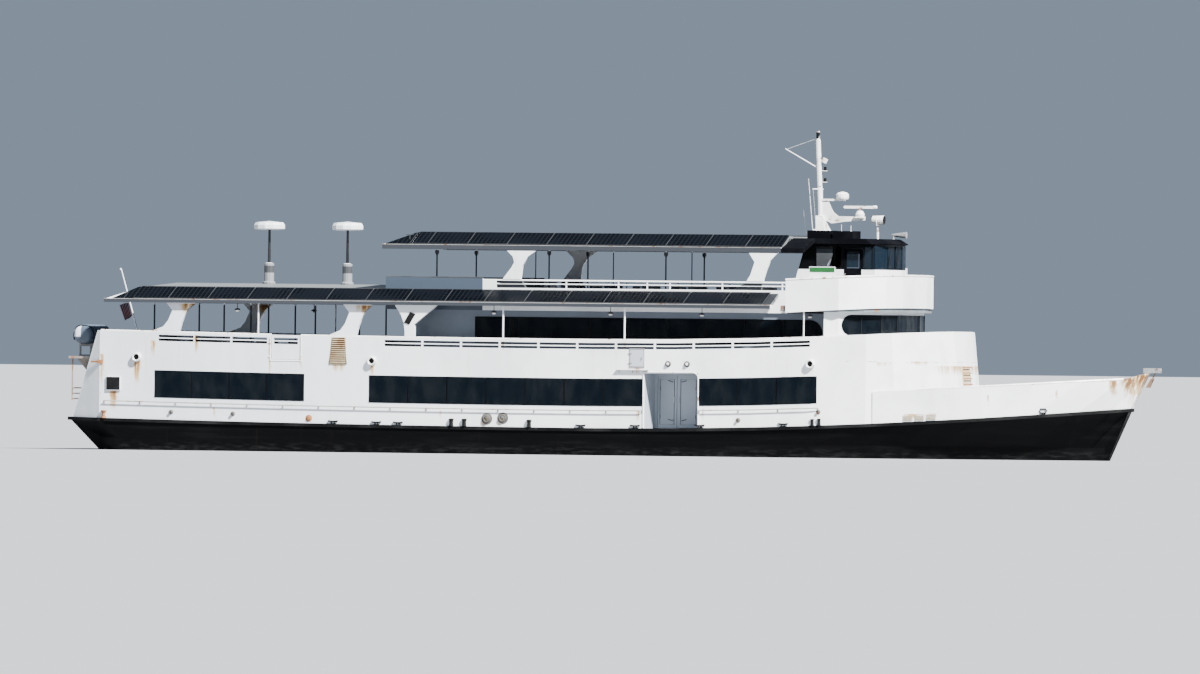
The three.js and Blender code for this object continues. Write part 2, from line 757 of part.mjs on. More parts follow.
// Third deck and the raised bridge deck in front of it
const TOP_HALF = 3640;
const WING_CURVE = [
  [BRIDGE_AFT + 200, -4560],
  [9000, -4480],
  [9800, -3950],
  [10250, -2950],
  [10450, -1500],
];
const BRIDGE_LIP = 50; // the lower deck runs this far under the raised one
const thirdDeck = join(
  box(TOP_AFT, BRIDGE_AFT + BRIDGE_LIP, -TOP_HALF, TOP_HALF, THIRD_DECK - DECK, THIRD_DECK),
  box(BRIDGE_AFT, BRIDGE_AFT + BRIDGE_LIP, -TOP_HALF, TOP_HALF, THIRD_DECK - DECK, BRIDGE_DECK - DECK),
  plate([[BRIDGE_AFT, -4565], ...WING_CURVE], level(BRIDGE_DECK), BRIDGE_DECK - THIRD_DECK),
);
part("third_deck", thirdDeck, deckGrey);

// Canopies: hip roofs of thin plate, sloping up from the fascia
const RUN = 1070; // plan length of the sloping edge
const SLOPE = 440; // its rise
const SKIN = 90;
// Half of a roof section from the fascia inwards, at a distance from the hipped end.
function roofRing(x, halfWidth, low, edgeZ, crown, fromEnd) {
  const run = Math.min(RUN, Math.max(fromEnd, 15));
  const rise = (SLOPE * run) / RUN;
  const peak = edgeZ + rise + (run >= RUN ? crown : 0);
  const top = [
    [-halfWidth, low],
    [-halfWidth, edgeZ],
    [-halfWidth + run, edgeZ + rise],
    [0, peak],
    [halfWidth - run, edgeZ + rise],
    [halfWidth, edgeZ],
    [halfWidth, low],
  ];
  const under = [
    [halfWidth - SKIN, low],
    [halfWidth - Math.max(run, SKIN + 20), edgeZ + rise - SKIN],
    [0, peak - SKIN],
    [-halfWidth + Math.max(run, SKIN + 20), edgeZ + rise - SKIN],
    [-halfWidth + SKIN, low],
  ];
  return [...top, ...under].map(([y, z]) => [x, y, Math.max(z, low)]);
}
function hipRoof(aft, fore, halfWidth, low, edgeZ, crown) {
  const xs = [0, 60, RUN - 1, RUN + 120];
  const rings = xs.map((d) => roofRing(aft + d, halfWidth, low, edgeZ, crown, d));
  rings.push(roofRing(fore, halfWidth, low, edgeZ, crown, RUN + 1));
  return loft(rings);
}
// A pillar: broad at its head, waisted, swept aft towards its foot. The shape goes up its fore side
// and down its aft side, in x from its middle and in shares of its height.
const SWEPT = [
  [-1146, 0],
  [-67, 0],
  [20, 0.31],
  [110, 0.52],
  [247, 0.78],
  [540, 1],
  [-540, 1],
  [-315, 0.74],
  [-470, 0.395],
  [-650, 0.18],
];
const SPLAYED = [
  [-900, 0],
  [170, 0],
  [-30, 0.24],
  [30, 0.59],
  [230, 0.83],
  [570, 1],
  [-570, 1],
  [-330, 0.83],
  [-270, 0.68],
  [-370, 0.54],
  [-630, 0.29],
];
function pillarOutline(x, foot, head, tuck, form = SWEPT) {
  const h = head - foot;
  const shape = form.flatMap(([dx, share]) => {
    const raised = [dx, share + tuck / h];
    if (share < 1) return [[dx, share]];
    return dx > 0 ? [[dx, share], raised] : [raised, [dx, share]];
  });
  return shape.map(([dx, share]) => [x + dx, foot + share * h]);
}
const CANOPY_AFT = -18100;
const CANOPY_FORE = 6570;
const PILLAR_Y = [-4590, -4410];
const LOWER_PILLARS = [-15280, -8700];
const SIDE_POSTS = [-3320, 1170];
const railTop = above(BULWARK_TOP + GAP);
const lowerPillar = (x) =>
  prismY(pillarOutline(x, Math.max(railTop(x - 1146), railTop(x)), CANOPY_LOW, 110), ...PILLAR_Y);
const INNER_POSTS = [-16900, -14300, -13300, -10900, -8270];
const INNER_POST_Y = -2600;
// The knee at the house's aft end carries the canopy on a narrow foot and a long fore arm
const KNEE = [
  [-6600, 4560],
  [-5770, CANOPY_LOW],
  [-5770, CANOPY_LOW + 110],
  [-7330, CANOPY_LOW + 110],
  [-7330, CANOPY_LOW],
  [-7100, 4900],
  [-6990, 4600],
  [-6950, 4300],
];
const kneeFoot = Math.max(railTop(-6950), railTop(-6600));
const canopyStarboard = [
  ...LOWER_PILLARS.map(lowerPillar),
  ...SIDE_POSTS.map((x) => rod([x, -4550, railTop(x)], [x, -4550, CANOPY_EDGE], 30)),
  ...INNER_POSTS.map((x) =>
    rod([x, INNER_POST_Y, sheer(x) + SECOND_DECK - 20], [x, INNER_POST_Y, CANOPY_EDGE + 420], 32),
  ),
  prismY([[-6950, kneeFoot], [-6600, kneeFoot], ...KNEE], ...PILLAR_Y),
];
const CROWN = 170;
const ROOF_CROWN = CANOPY_EDGE + SLOPE + CROWN;
const SIDE_HEAD = CANOPY_EDGE + ((CANOPY_HALF - TOP_HALF - 65) * SLOPE) / RUN;
const sideCanopy = prismX(
  [
    [-CANOPY_HALF, CANOPY_LOW],
    [-CANOPY_HALF + SKIN, CANOPY_LOW],
    [-TOP_HALF - 65, SIDE_HEAD - 110],
    [-TOP_HALF - 65, SIDE_HEAD],
    [-CANOPY_HALF, CANOPY_EDGE],
  ],
  TOP_AFT - 200,
  CANOPY_FORE,
);
const starboardCanopy = join(sideCanopy, canopyStarboard);
const lowerCanopy = join(
  hipRoof(CANOPY_AFT, TOP_AFT - 60, CANOPY_HALF, CANOPY_LOW, CANOPY_EDGE, CROWN),
  starboardCanopy,
  mirror(starboardCanopy),
);
part("lower_canopy", cut(lowerCanopy, moved(secondDeck, 0, 0, GAP)), white);

// Top-deck bulwark: a high box round the aft end, lower along the sides with rails above
const TOP_SOLID = 5890;
const TOP_RAIL = 6160;
const BOX_TOP = 6230;
const BOX_FORE = -4350;
const PANEL_FORE = -3850; // a plain board goes on from the box at rail height
const roundAft = (fore) => [
  [fore, TOP_HALF],
  [TOP_AFT, TOP_HALF],
  [TOP_AFT, -TOP_HALF],
  [fore, -TOP_HALF],
];
const topRails = [-1, 1].flatMap((side) => {
  const y = side * (TOP_HALF + 25);
  const posts = [-1270, 660, 1720, 2560, 4490, 6700].map((x) =>
    box(x - 20, x + 20, y - 15, y + 15, TOP_SOLID - 60, TOP_RAIL),
  );
  return [
    ...posts,
    rod([BOX_FORE - 30, y, TOP_RAIL], [6800, y, TOP_RAIL], 30, 6),
    rod([BOX_FORE - 30, y, TOP_RAIL - 130], [6800, y, TOP_RAIL - 130], 20, 6),
  ];
});
const topBulwark = join(
  wall(roundAft(BRIDGE_AFT - 10), GAP, 55, level(THIRD_DECK - DECK), level(TOP_SOLID)),
  wall(roundAft(BOX_FORE), GAP, 55, level(TOP_SOLID - 10), level(BOX_TOP)),
  [-1, 1].map((side) => {
    const faces = [side * (TOP_HALF + GAP), side * (TOP_HALF + 55)].sort((a, b) => a - b);
    return box(BOX_FORE - 10, PANEL_FORE, ...faces, TOP_SOLID - 10, TOP_RAIL);
  }),
  topRails,
);
part("top_deck_bulwark", topBulwark, white);

// Upper canopy on its pillars; the top-deck rails pass its feet in notches
const UPPER_AFT = -8100;
const UPPER_FORE = 6640;
const upperPillar = (x, form) =>
  prismY(
    pillarOutline(x, TOP_SOLID + GAP, UPPER_LOW, 100, form),
    -TOP_HALF - 54,
    -TOP_HALF + 80,
  );
const POST_Y = -2350;
const upperPosts = [-6480, -2320, 2000].map((x) =>
  rod([x, POST_Y, THIRD_DECK + GAP], [x, POST_Y, UPPER_EDGE + SLOPE - 60], 28, 6),
);
const AISLE_Y = 675; // a row of thin posts stands beside the aisle
const aislePosts = [-3747, -863, 2048].map((x) =>
  rod([x, AISLE_Y, THIRD_DECK + GAP], [x, AISLE_Y, UPPER_EDGE + SLOPE - 130], 20, 6),
);
const upperSide = [upperPillar(-2930, SPLAYED), upperPillar(5990, SWEPT), ...upperPosts];
const railRoom = [
  [TOP_RAIL, 34],
  [TOP_RAIL - 130, 24],
].map(([z, room]) => box(-9000, 7000, -TOP_HALF - 200, -TOP_HALF + 12, z - room, z + room));
const upperSupports = cut(join(upperSide), railRoom);
const upperCanopy = join(
  hipRoof(UPPER_AFT, UPPER_FORE, UPPER_HALF, UPPER_LOW, UPPER_EDGE, -90),
  upperSupports,
  mirror(upperSupports),
  aislePosts,
);
part("upper_canopy", upperCanopy, white);

// Solar panels: a backing sheet on each slope carrying a row of panels
const PANEL = { pitch: 1467, gap: 30, thick: 35, back: 8 };
function solarRow(ends, outerY, outerZ, run, rise) {
  const length = Math.hypot(run, rise);
  const [ny, nz] = [-rise / length, run / length];
  const strip = (from, to, x0, x1, low, high) =>
    prismX(
      [
        [from, low],
        [to, low],
        [to, high],
        [from, high],
      ].map(([along, up]) => [
        outerY + (along * run) / length + up * ny,
        outerZ + (along * rise) / length + up * nz,
      ]),
      x0,
      x1,
    );
  const panels = ends
    .slice(1)
    .map((end, k) => strip(30, length - 30, ends[k], end - PANEL.gap, GAP + 4, PANEL.thick));
  return join(strip(60, length - 60, ends[0], ends.at(-1) - PANEL.gap, GAP, PANEL.back), panels);
}
const panelEnds = (first, count) => Array.from({ length: count }, (_, k) => first + k * PANEL.pitch);
const LOWER_ENDS = [CANOPY_AFT + RUN + 20, ...panelEnds(-15700, 16)];
const UPPER_ENDS = [UPPER_AFT + RUN + 20, ...panelEnds(-6410, 9), UPPER_FORE];
const lowerSolar = solarRow(LOWER_ENDS, -CANOPY_HALF, CANOPY_EDGE, RUN, SLOPE);
pair("lower_solar_panels", lowerSolar, panelBlue);
const upperSolar = solarRow(UPPER_ENDS, -UPPER_HALF, UPPER_EDGE, RUN, SLOPE);
pair("upper_solar_panels", upperSolar, panelBlue);

// Bridge wing bulwark: a blank white board round the bridge deck
const wingLine = bothSides(WING_CURVE);
const wingLow = (x) => 5110 + Math.max(0, x - 7100) * 0.06;
const wingHigh = (x) => 6270 + Math.max(0, x - 7100) * 0.055;
part("bridge_wing_bulwark", wall(wingLine, GAP, 60, wingLow, wingHigh), white);

// Pilothouse: shell with a window band, a door each side, and a roof with a visor
const CAB = { aft: 7060, side: 1900, shoulder: 9570, fore: 9730, nose: 950, top: 7540 };
const cabLine = [
  [CAB.aft, -CAB.side],
  [CAB.shoulder, -CAB.side],
  [CAB.fore, -CAB.nose],
  [CAB.fore, CAB.nose],
  [CAB.shoulder, CAB.side],
  [CAB.aft, CAB.side],
];
const CAB_WINDOW = { low: 6710, high: 7470 };
const CAB_DOOR = { from: 8420, to: 9080, low: BRIDGE_DECK + 60, high: 7400 };
const cabWindows = [
  [7400, 8320],
  [9180, 9500],
].map(([from, to]) => box(from, to, -2500, 2500, CAB_WINDOW.low, CAB_WINDOW.high));
const cabFront = [
  box(9000, 10200, -CAB.nose + 60, -40, CAB_WINDOW.low, CAB_WINDOW.high),
  box(9000, 10200, 40, CAB.nose - 60, CAB_WINDOW.low, CAB_WINDOW.high),
  ...[-1, 1].map((side) =>
    prismZ(
      [
        [9000, side * 1060],
        [10300, side * 1060],
        [10300, side * 1790],
        [9000, side * 1790],
      ],
      CAB_WINDOW.low,
      CAB_WINDOW.high,
    ),
  ),
];
const cabAft = box(CAB.aft - 200, CAB.aft + 200, -1300, 1300, CAB_WINDOW.low, CAB_WINDOW.high);
const cabDoors = box(CAB_DOOR.from, CAB_DOOR.to, -2500, 2500, CAB_DOOR.low, CAB_DOOR.high);
// A fin aft of each side wall, raked so that its head lies furthest forward
const finFoot = THIRD_DECK + GAP;
const finTop = CAB.top - GAP;
const cabFin = prismY(
  [
    [6330, finFoot],
    [BRIDGE_AFT - GAP, finFoot],
    [BRIDGE_AFT - GAP, BRIDGE_DECK + GAP],
    [CAB.aft + 10, BRIDGE_DECK + GAP],
    [CAB.aft + 10, finTop],
    [CAB.aft - 60, finTop],
  ],
  -CAB.side,
  -CAB.side + WALL,
);
const cabShell = wall(cabLine, -WALL, 0, level(BRIDGE_DECK + GAP), level(finTop), true);
const pilothouse = cut(
  join(cabShell, cabFin, mirror(cabFin)),
  cabWindows,
  cabFront,
  cabAft,
  cabDoors,
);
part("pilothouse", pilothouse, white);
const paneLine = (points, low, high) => wall(points, GAP, GAP + GLASS, level(low), level(high));
const cabGlass = paneLine(
  [
    [9130, -CAB.side],
    [CAB.shoulder, -CAB.side],
    [CAB.fore, -CAB.nose],
    [CAB.fore, CAB.nose],
    [CAB.shoulder, CAB.side],
    [9130, CAB.side],
  ],
  CAB_WINDOW.low - 40,
  CAB_WINDOW.high + 30,
);
part("pilothouse_glass", cabGlass, glass);
const cabPivot = [CAB_DOOR.to - hingeIn, -CAB.side + 5 + DOOR.thick / 2];
const cabDoor = cut(
  join(
    leafOn(
      cabPivot,
      [-1, 0],
      cabPivot[0] - CAB_DOOR.from - DOOR.air,
      DOOR.thick,
      CAB_DOOR.low + DOOR.air,
      CAB_DOOR.high - DOOR.air,
    ),
    pin(cabPivot, CAB_DOOR.low + SEAT_GAP, CAB_DOOR.low + 2 * DOOR.air),
    pin(cabPivot, CAB_DOOR.high - 2 * DOOR.air, CAB_DOOR.high - SEAT_GAP),
    box(CAB_DOOR.from + 80, CAB_DOOR.from + 110, -CAB.side - 45, -CAB.side + 20, 6350, 6500),
  ),
  box(CAB_DOOR.from + 90, CAB_DOOR.to - 90, -2500, 0, CAB_WINDOW.low, CAB_DOOR.high - 110),
);
pair("pilothouse_door", cabDoor, white);
const VISOR = { aft: UPPER_FORE + 10, fore: 9870, side: 2210, nose: 1150, shoulder: 9500, top: 7750 };
// The roof's outline, with its fore edge drawn in where the visor slopes
const visorRing = (z, drawn) => [
  [VISOR.aft, -VISOR.side, z],
  [VISOR.shoulder - drawn * 0.6, -VISOR.side, z],
  [VISOR.fore - drawn, -VISOR.nose, z],
  [VISOR.fore - drawn, VISOR.nose, z],
  [VISOR.shoulder - drawn * 0.6, VISOR.side, z],
  [VISOR.aft, VISOR.side, z],
];
const visor = loft([visorRing(CAB.top, 0), visorRing(CAB.top + 50, 0), visorRing(VISOR.top, 330)]);
// On each side the roof goes on down to the line of the canopy's edge
const AWNING_FORE = 7460;
const awning = prismX(
  [
    [-UPPER_HALF, UPPER_LOW],
    [-UPPER_HALF + SKIN, UPPER_LOW],
    [-VISOR.side + 10, VISOR.top - 130],
    [-VISOR.side + 10, VISOR.top],
    [-UPPER_HALF, UPPER_EDGE],
  ],
  VISOR.aft,
  AWNING_FORE,
);
const roofBoxes = [
  box(6950, 7780, -1500, -500, VISOR.top - 20, 8030),
  box(7880, 8620, -1500, -500, VISOR.top - 20, 8020),
];
part("pilothouse_roof", join(visor, awning, mirror(awning), roofBoxes), black);

// Mast on a trunk with a raking front leg, with its gaff, radar arm, radome and whip aerials
const ROOF = VISOR.top + GAP;
const MAST = { foot: [7000, 0, 8400], head: [6870, 0, 11250] };
const mastAt = (z) => {
  const share = (z - MAST.foot[2]) / (MAST.head[2] - MAST.foot[2]);
  return [MAST.foot[0] + (MAST.head[0] - MAST.foot[0]) * share, 0, z];
};
const rectangle = (x0, x1, y, z) => [
  [x0, -y, z],
  [x1, -y, z],
  [x1, y, z],
  [x0, y, z],
];
const mastTrunk = join(
  loft([rectangle(6900, 7250, 300, ROOF), rectangle(6850, 7120, 150, 8560)]),
  prismY(
    [
      [7340, ROOF],
      [7480, ROOF],
      [7110, 8560],
      [6980, 8560],
    ],
    -160,
    160,
  ),
);
const ARM = { top: 8540, fore: 8620, head: 9110 };
const radarArm = join(
  prismY(
    [
      [6980, 8430],
      [7190, 8400],
      [7410, 8290],
      [7910, 8360],
      [ARM.fore, 8410],
      [ARM.fore, ARM.top - 10],
      [7640, ARM.top + 10],
      [7460, 8680],
      [7350, 8910],
      [7290, ARM.head],
      [6960, ARM.head],
    ],
    -45,
    45,
  ),
  prismZ(roundedRect(8240, ARM.fore, -150, 150, 60), ARM.top - 50, ARM.top),
);
const RADOME_X = 7790;
const radome = join(
  box(6960, RADOME_X + 100, -70, 70, ARM.head - 20, ARM.head + 50),
  turned(
    [
      [0, 0],
      [200, 0],
      [225, 60],
      [225, 170],
      [150, 240],
      [0, 270],
    ],
    RADOME_X,
    0,
    ARM.head + 40,
  ),
);
const SCANNER = { x: 8440, foot: ARM.top + 215 + GAP, reach: 600 };
const pedestal = turned(
  [
    [0, 0],
    [150, 0],
    [165, 90],
    [110, 210],
    [0, 225],
  ],
  SCANNER.x,
  0,
  ARM.top - 10,
);
const whip = (foot, head, root) => [rod(foot, head, 14, 6, 8), rod(root, foot, 22, 6)];
const aerials = [
  ...whip([6810, -380, 8060], [6640, -380, 9870], [7000, 0, 8060]),
  ...whip([6350, 380, 7940], [6240, 380, 8780], [7000, 0, 7980]),
];
const LAMP_Z = 10520;
const mastLamp = [
  rod(mastAt(LAMP_Z), [7150, 0, LAMP_Z], 20, 6),
  rod([7090, 0, LAMP_Z - 80], [7150, 0, LAMP_Z + 60], 90, 10, 100),
];
const mast = join(
  mastTrunk,
  rod(MAST.foot, MAST.head, 95, 10, 85),
  rod([MAST.head[0], 0, 11200], [MAST.head[0] - 10, 0, 11550], 60, 8),
  rod(mastAt(10220), [5660, 0, 10920], 26, 6, 16),
  radarArm,
  radome,
  pedestal,
  aerials,
  mastLamp,
);
part("mast", mast, white);
const barLow = SCANNER.foot + 70;
const scanner = join(
  rod([SCANNER.x, 0, SCANNER.foot], [SCANNER.x, 0, barLow + 10], 50, 10),
  prismY(
    roundedRect(SCANNER.x - SCANNER.reach, SCANNER.x + SCANNER.reach, barLow, barLow + 95, 40, 1),
    -50,
    50,
  ),
);
part("radar_scanner", scanner, white);

// Searchlight and horn on the pilothouse roof
const LIGHT = { x: 9190, y: -300, z: 8430 };
const searchlight = join(
  rod([LIGHT.x, LIGHT.y, ROOF], [LIGHT.x, LIGHT.y, LIGHT.z], 45, 8, 30),
  rod([LIGHT.x - 190, LIGHT.y, LIGHT.z + 10], [LIGHT.x + 220, LIGHT.y, LIGHT.z - 10], 130, 12, 165),
  rod([LIGHT.x, LIGHT.y - 200, LIGHT.z], [LIGHT.x, LIGHT.y + 200, LIGHT.z], 28, 6),
);
part("searchlight", searchlight, white);
const HORN = { x: 9480, y: 700, z: 7900 };
const horn = join(
  rod([HORN.x, HORN.y, ROOF], [HORN.x, HORN.y, HORN.z], 40, 8),
  rod([HORN.x - 60, HORN.y, HORN.z], [HORN.x + 480, HORN.y, HORN.z], 40, 10, 120),
);
part("horn", horn, steel);

// Vent posts on the aft roof: trunk, pole and flattened cap
const ventPost = (x) =>
  turned(
    [
      [0, 0],
      [230, 0],
      [230, 60],
      [180, 90],
      [180, 720],
      [55, 760],
      [45, 1900],
      [520, 1930],
      [560, 1960],
      [560, 2090],
      [500, 2180],
      [0, 2230],
    ],
    x,
    0,
    ROOF_CROWN + GAP,
    12,
  );
part("vent_post_aft", ventPost(-13470), white);
part("vent_post_fore", ventPost(-10550), white);

// Propeller shafts in their brackets, propellers and rudders
const SHAFT_Y = -1900;
const PROP = { x: -16600, z: -1380, radius: 500 };
const hullRoom = moved(hull, 0, 0, -GAP);
const bracket = cut(
  join(
    rod([PROP.x + 160, SHAFT_Y, PROP.z], [PROP.x + 8000, SHAFT_Y, PROP.z], 55, 10),
    rod([PROP.x + 150, SHAFT_Y, PROP.z], [PROP.x + 560, SHAFT_Y, PROP.z], 110, 12),
    prismX(
      [
        [SHAFT_Y - 30, PROP.z],
        [SHAFT_Y + 30, PROP.z],
        [SHAFT_Y + 30, -300],
        [SHAFT_Y - 30, -300],
      ],
      PROP.x + 210,
      PROP.x + 470,
    ),
  ),
  hullRoom,
);
pair("shaft_bracket", bracket, black);

// One blade: a thin twisted plate lofted outwards from the hub
function blade(angle) {
  // distance from the axis, half chord, pitch angle in degrees
  const sections = [
    [70, 95, 62],
    [200, 165, 45],
    [350, 190, 32],
    [460, 130, 26],
    [PROP.radius, 40, 24],
  ];
  const thick = 12;
  return loft(
    sections.map(([r, chord, pitch]) => {
      const turn = (pitch * Math.PI) / 180;
      const [cx, cy] = [Math.sin(turn), Math.cos(turn)];
      return [
        [chord, thick],
        [-chord, thick],
        [-chord, -thick],
        [chord, -thick],
      ].map(([along, through]) => {
        const x = along * cx + through * cy;
        const side = along * cy - through * cx;
        const y = side * Math.cos(angle) - r * Math.sin(angle);
        const z = side * Math.sin(angle) + r * Math.cos(angle);
        return [PROP.x + x, SHAFT_Y + y, PROP.z + z];
      });
    }),
  );
}
const propeller = join(
  rod([PROP.x - 170, SHAFT_Y, PROP.z], [PROP.x + 150 - GAP, SHAFT_Y, PROP.z], 100, 12, 105),
  rod([PROP.x - 290, SHAFT_Y, PROP.z], [PROP.x - 165, SHAFT_Y, PROP.z], 35, 12, 98),
  [0, 1, 2, 3].map((k) => blade((k * Math.PI) / 2)),
);
pair("propeller", propeller, bronze);

const RUDDER = { x: -17450, head: -560, foot: -1880, fore: -17180, aft: -17980, stockTop: -521.6 };
const rudder = join(
  loft(
    [
      [RUDDER.head - 120, 1],
      [RUDDER.foot, 0.86],
    ].map(([z, share]) =>
      [
        [RUDDER.fore, 0],
        [RUDDER.x, 60],
        [RUDDER.aft * share + RUDDER.x * (1 - share), 8],
        [RUDDER.aft * share + RUDDER.x * (1 - share), -8],
        [RUDDER.x, -60],
      ].map(([x, y]) => [x, SHAFT_Y + y, z]),
    ),
  ),
  rod([RUDDER.x, SHAFT_Y, RUDDER.head - 200], [RUDDER.x, SHAFT_Y, RUDDER.stockTop], 55, 12),
);
pair("rudder", rudder, black);

// Bow chock with its roller, and the anchor hanging behind the roller along the raked stem
const stemHead = sheer(STEM_X) + BOW_TOP_AFT - 60 + TIP_RISE;
const CHOCK = { aft: 18950, plate: 19290, fore: 19560, half: 105, low: stemHead + GAP };
const chockCheek = (y0, y1) => box(CHOCK.aft, CHOCK.fore, y0, y1, CHOCK.low, CHOCK.low + 170);
const ROLLER = { x: 19500, z: CHOCK.low + 95, radius: 52 };
const bowChock = join(
  box(CHOCK.aft, CHOCK.plate, -CHOCK.half, CHOCK.half, CHOCK.low, CHOCK.low + 45),
  chockCheek(-CHOCK.half, -CHOCK.half + 25),
  chockCheek(CHOCK.half - 25, CHOCK.half),
  rod([ROLLER.x, -90, ROLLER.z], [ROLLER.x, 90, ROLLER.z], ROLLER.radius, 20),
);
part("bow_chock", bowChock, steel);
const SHANK = { radius: 28, above: 40, length: 700 };
const FLATS = 2; // what the flats of roller and shank take off their radii
const stemRun = new THREE.Vector2(BOW_TIP_X - STEM_X, stemHead - sheer(STEM_X)).normalize();
const shankOff = ROLLER.radius + SHANK.radius + GAP - FLATS;
// A place along the shank, and off it towards the bow, as x and z
const onShank = (along, off = 0) => [
  ROLLER.x - stemRun.y * (shankOff - off) + stemRun.x * along,
  ROLLER.z + stemRun.x * (shankOff - off) + stemRun.y * along,
];
const shankPoint = (along, y) => [onShank(along)[0], y, onShank(along)[1]];
const flukeRing = (y, reach) =>
  [
    [-SHANK.length - 20, -14],
    [-SHANK.length - 20, 14],
    [-SHANK.length + reach, 14],
    [-SHANK.length + reach, -14],
  ].map(([along, off]) => {
    const [x, z] = onShank(along, off);
    return [x, y, z];
  });
const fluke = loft([flukeRing(20, 60), flukeRing(190, 330), flukeRing(250, 40)]);
const anchor = join(
  rod(shankPoint(SHANK.above, 0), shankPoint(-SHANK.length, 0), SHANK.radius, 8),
  rod(shankPoint(-SHANK.length, -250), shankPoint(-SHANK.length, 250), 26, 6),
  fluke,
  mirror(fluke),
);
part("anchor", anchor, rust);

// Stern platform on brackets, with hanging posts and three bars at each corner
const PLATFORM = { aft: -19600, half: 4100, low: 3230, high: 3310 };
const sternFootZ = sternFoot(STERN_FOOT_X);
const sternLean = (SIDE_AFT - HEAD_SETBACK - 40 - STERN_FOOT_X) / (sternHead - sternFootZ);
const sternFace = (z) => STERN_FOOT_X + (z - sternFootZ) * sternLean;
const BITE = 30; // how far a piece reaches into the stern before the stern is cut out of it
const sternRoom = moved(sternShell, -GAP, 0, 0);
const bracketAt = (y) =>
  prismY(
    [
      [-19500, PLATFORM.low + 20],
      [-19500, PLATFORM.low - 60],
      [-18950, 2560],
      [sternFace(2560) + BITE, 2560],
      [sternFace(PLATFORM.low) + BITE, PLATFORM.low],
      [sternFace(PLATFORM.low) + BITE, PLATFORM.low + 20],
    ],
    y - 30,
    y + 30,
  );
const CORNER_Y = 3950;
const cornerPosts = [-1, 1].flatMap((side) => {
  const y = side * CORNER_Y;
  const bars = [2180, 1985, 1800].map((z) => rod([-19500, y, z], [sternFace(z) + BITE, y, z], 22, 6));
  return [rod([-19500, y, 1740], [-19500, y, PLATFORM.low + 20], 26, 6), ...bars];
});
const platform = cut(
  join(
    box(
      PLATFORM.aft,
      sternFace(PLATFORM.low) + BITE,
      -PLATFORM.half,
      PLATFORM.half,
      PLATFORM.low,
      PLATFORM.high,
    ),
    [-3300, -1000, 1000, 3300].map(bracketAt),
    cornerPosts,
  ),
  sternRoom,
);
part("stern_platform", platform, rust);

// Covered raft lying across the platform on two chocks
const RAFT = { low: 3700, high: 4430, aft: -19560, fore: -18760 };
const raftRing = (y, share) => {
  const [cx, cz] = [(RAFT.aft + RAFT.fore) / 2, (RAFT.low + RAFT.high) / 2];
  const [w, h] = [((RAFT.fore - RAFT.aft) / 2) * share, ((RAFT.high - RAFT.low) / 2) * share];
  return roundedRect(cx - w, cx + w, cz - h, cz + h, h * 0.7).map(([x, z]) => [x, y, z]);
};
const raft = join(
  loft([
    raftRing(-3900, 0.55),
    raftRing(-3700, 1),
    raftRing(-1900, 1),
    raftRing(-1700, 0.55),
  ]),
  [-3400, -2200].map((y) => box(-19400, -18900, y - 60, y + 60, PLATFORM.high + GAP, RAFT.low + 60)),
);
part("covered_raft", raft, coverBlue);

// Flagstaff on the stern head, leaning aft
const STAFF_X = SIDE_AFT - 75;
const staff = cut(
  rod([STAFF_X, 0, sternHead - 60], [STAFF_X - 640, 0, 6400], 23, 8, 16),
  box(-19000, -18000, -100, 100, sternHead - 300, sternHead + GAP),
);
part("flagstaff", staff, white);

// Seats: rows of benches on each deck, joined by a runner under each side and one across
const SEAT = { low: 370, thick: 60, depth: 430, back: 850, runner: 40 };
const benchOutline = (x, z) => [
  [x, z + SEAT.low],
  [x + SEAT.depth, z + SEAT.low],
  [x + SEAT.depth, z + SEAT.low + SEAT.thick],
  [x + 10, z + SEAT.low + SEAT.thick],
  [x + 10, z + SEAT.back],
  [x - 50, z + SEAT.back],
  [x - 50, z + SEAT.low],
];
function benches(xs, y0, y1, floor) {
  const middle = (y0 + y1) / 2;
  const rows = xs.map((x) => {
    const z = floor(x);
    return join(
      prismY(benchOutline(x, z), y0, y1),
      box(x + 60, x + 300, middle - 25, middle + 25, z + 15, z + SEAT.low + 20),
    );
  });
  const ends = [xs[0] - 50, ...STATIONS.filter((x) => x > xs[0] && x < xs.at(-1)), xs.at(-1) + 400];
  const runner = wall(
    ends.map((x) => [x, middle]),
    -SEAT.runner,
    SEAT.runner,
    (x) => floor(x) + GAP,
    (x) => floor(x) + 30,
  );
  return join(rows, runner);
}
function seats(name, xs, y0, y1, floor) {
  const side = benches(xs, y0, y1, floor);
  const z = floor(xs[0] + 100);
  const across = box(xs[0] + 90, xs[0] + 130, (y0 + y1) / 2, -(y0 + y1) / 2, z + 12, z + 26);
  part(name, join(side, mirror(side), across), seatGrey);
}
const TOP_ROWS = [-7400, -5800, -4260, -1700, -100, 1300, 3000, 4500];
const rowsOf = (from, count, pitch) => Array.from({ length: count }, (_, k) => from + k * pitch);
seats("main_saloon_seats", rowsOf(-15800, 9, 1900), -3950, -1300, above(0));
seats("second_deck_seats", [-16600, -15000, -12900, -11400, -9800], -3100, -700, above(SECOND_DECK));
seats("top_deck_seats", TOP_ROWS, -3000, -700, level(THIRD_DECK));

// Helm console behind the pilothouse front windows
const helm = join(
  box(8950, 9450, -800, 800, BRIDGE_DECK + GAP, BRIDGE_DECK + 1050),
  box(9150, 9450, -700, 700, BRIDGE_DECK + 1000, BRIDGE_DECK + 1200),
);
part("helm_console", helm, deckGrey);

export default ferry;
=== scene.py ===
import math

import bmesh
import bpy
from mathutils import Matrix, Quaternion, Vector


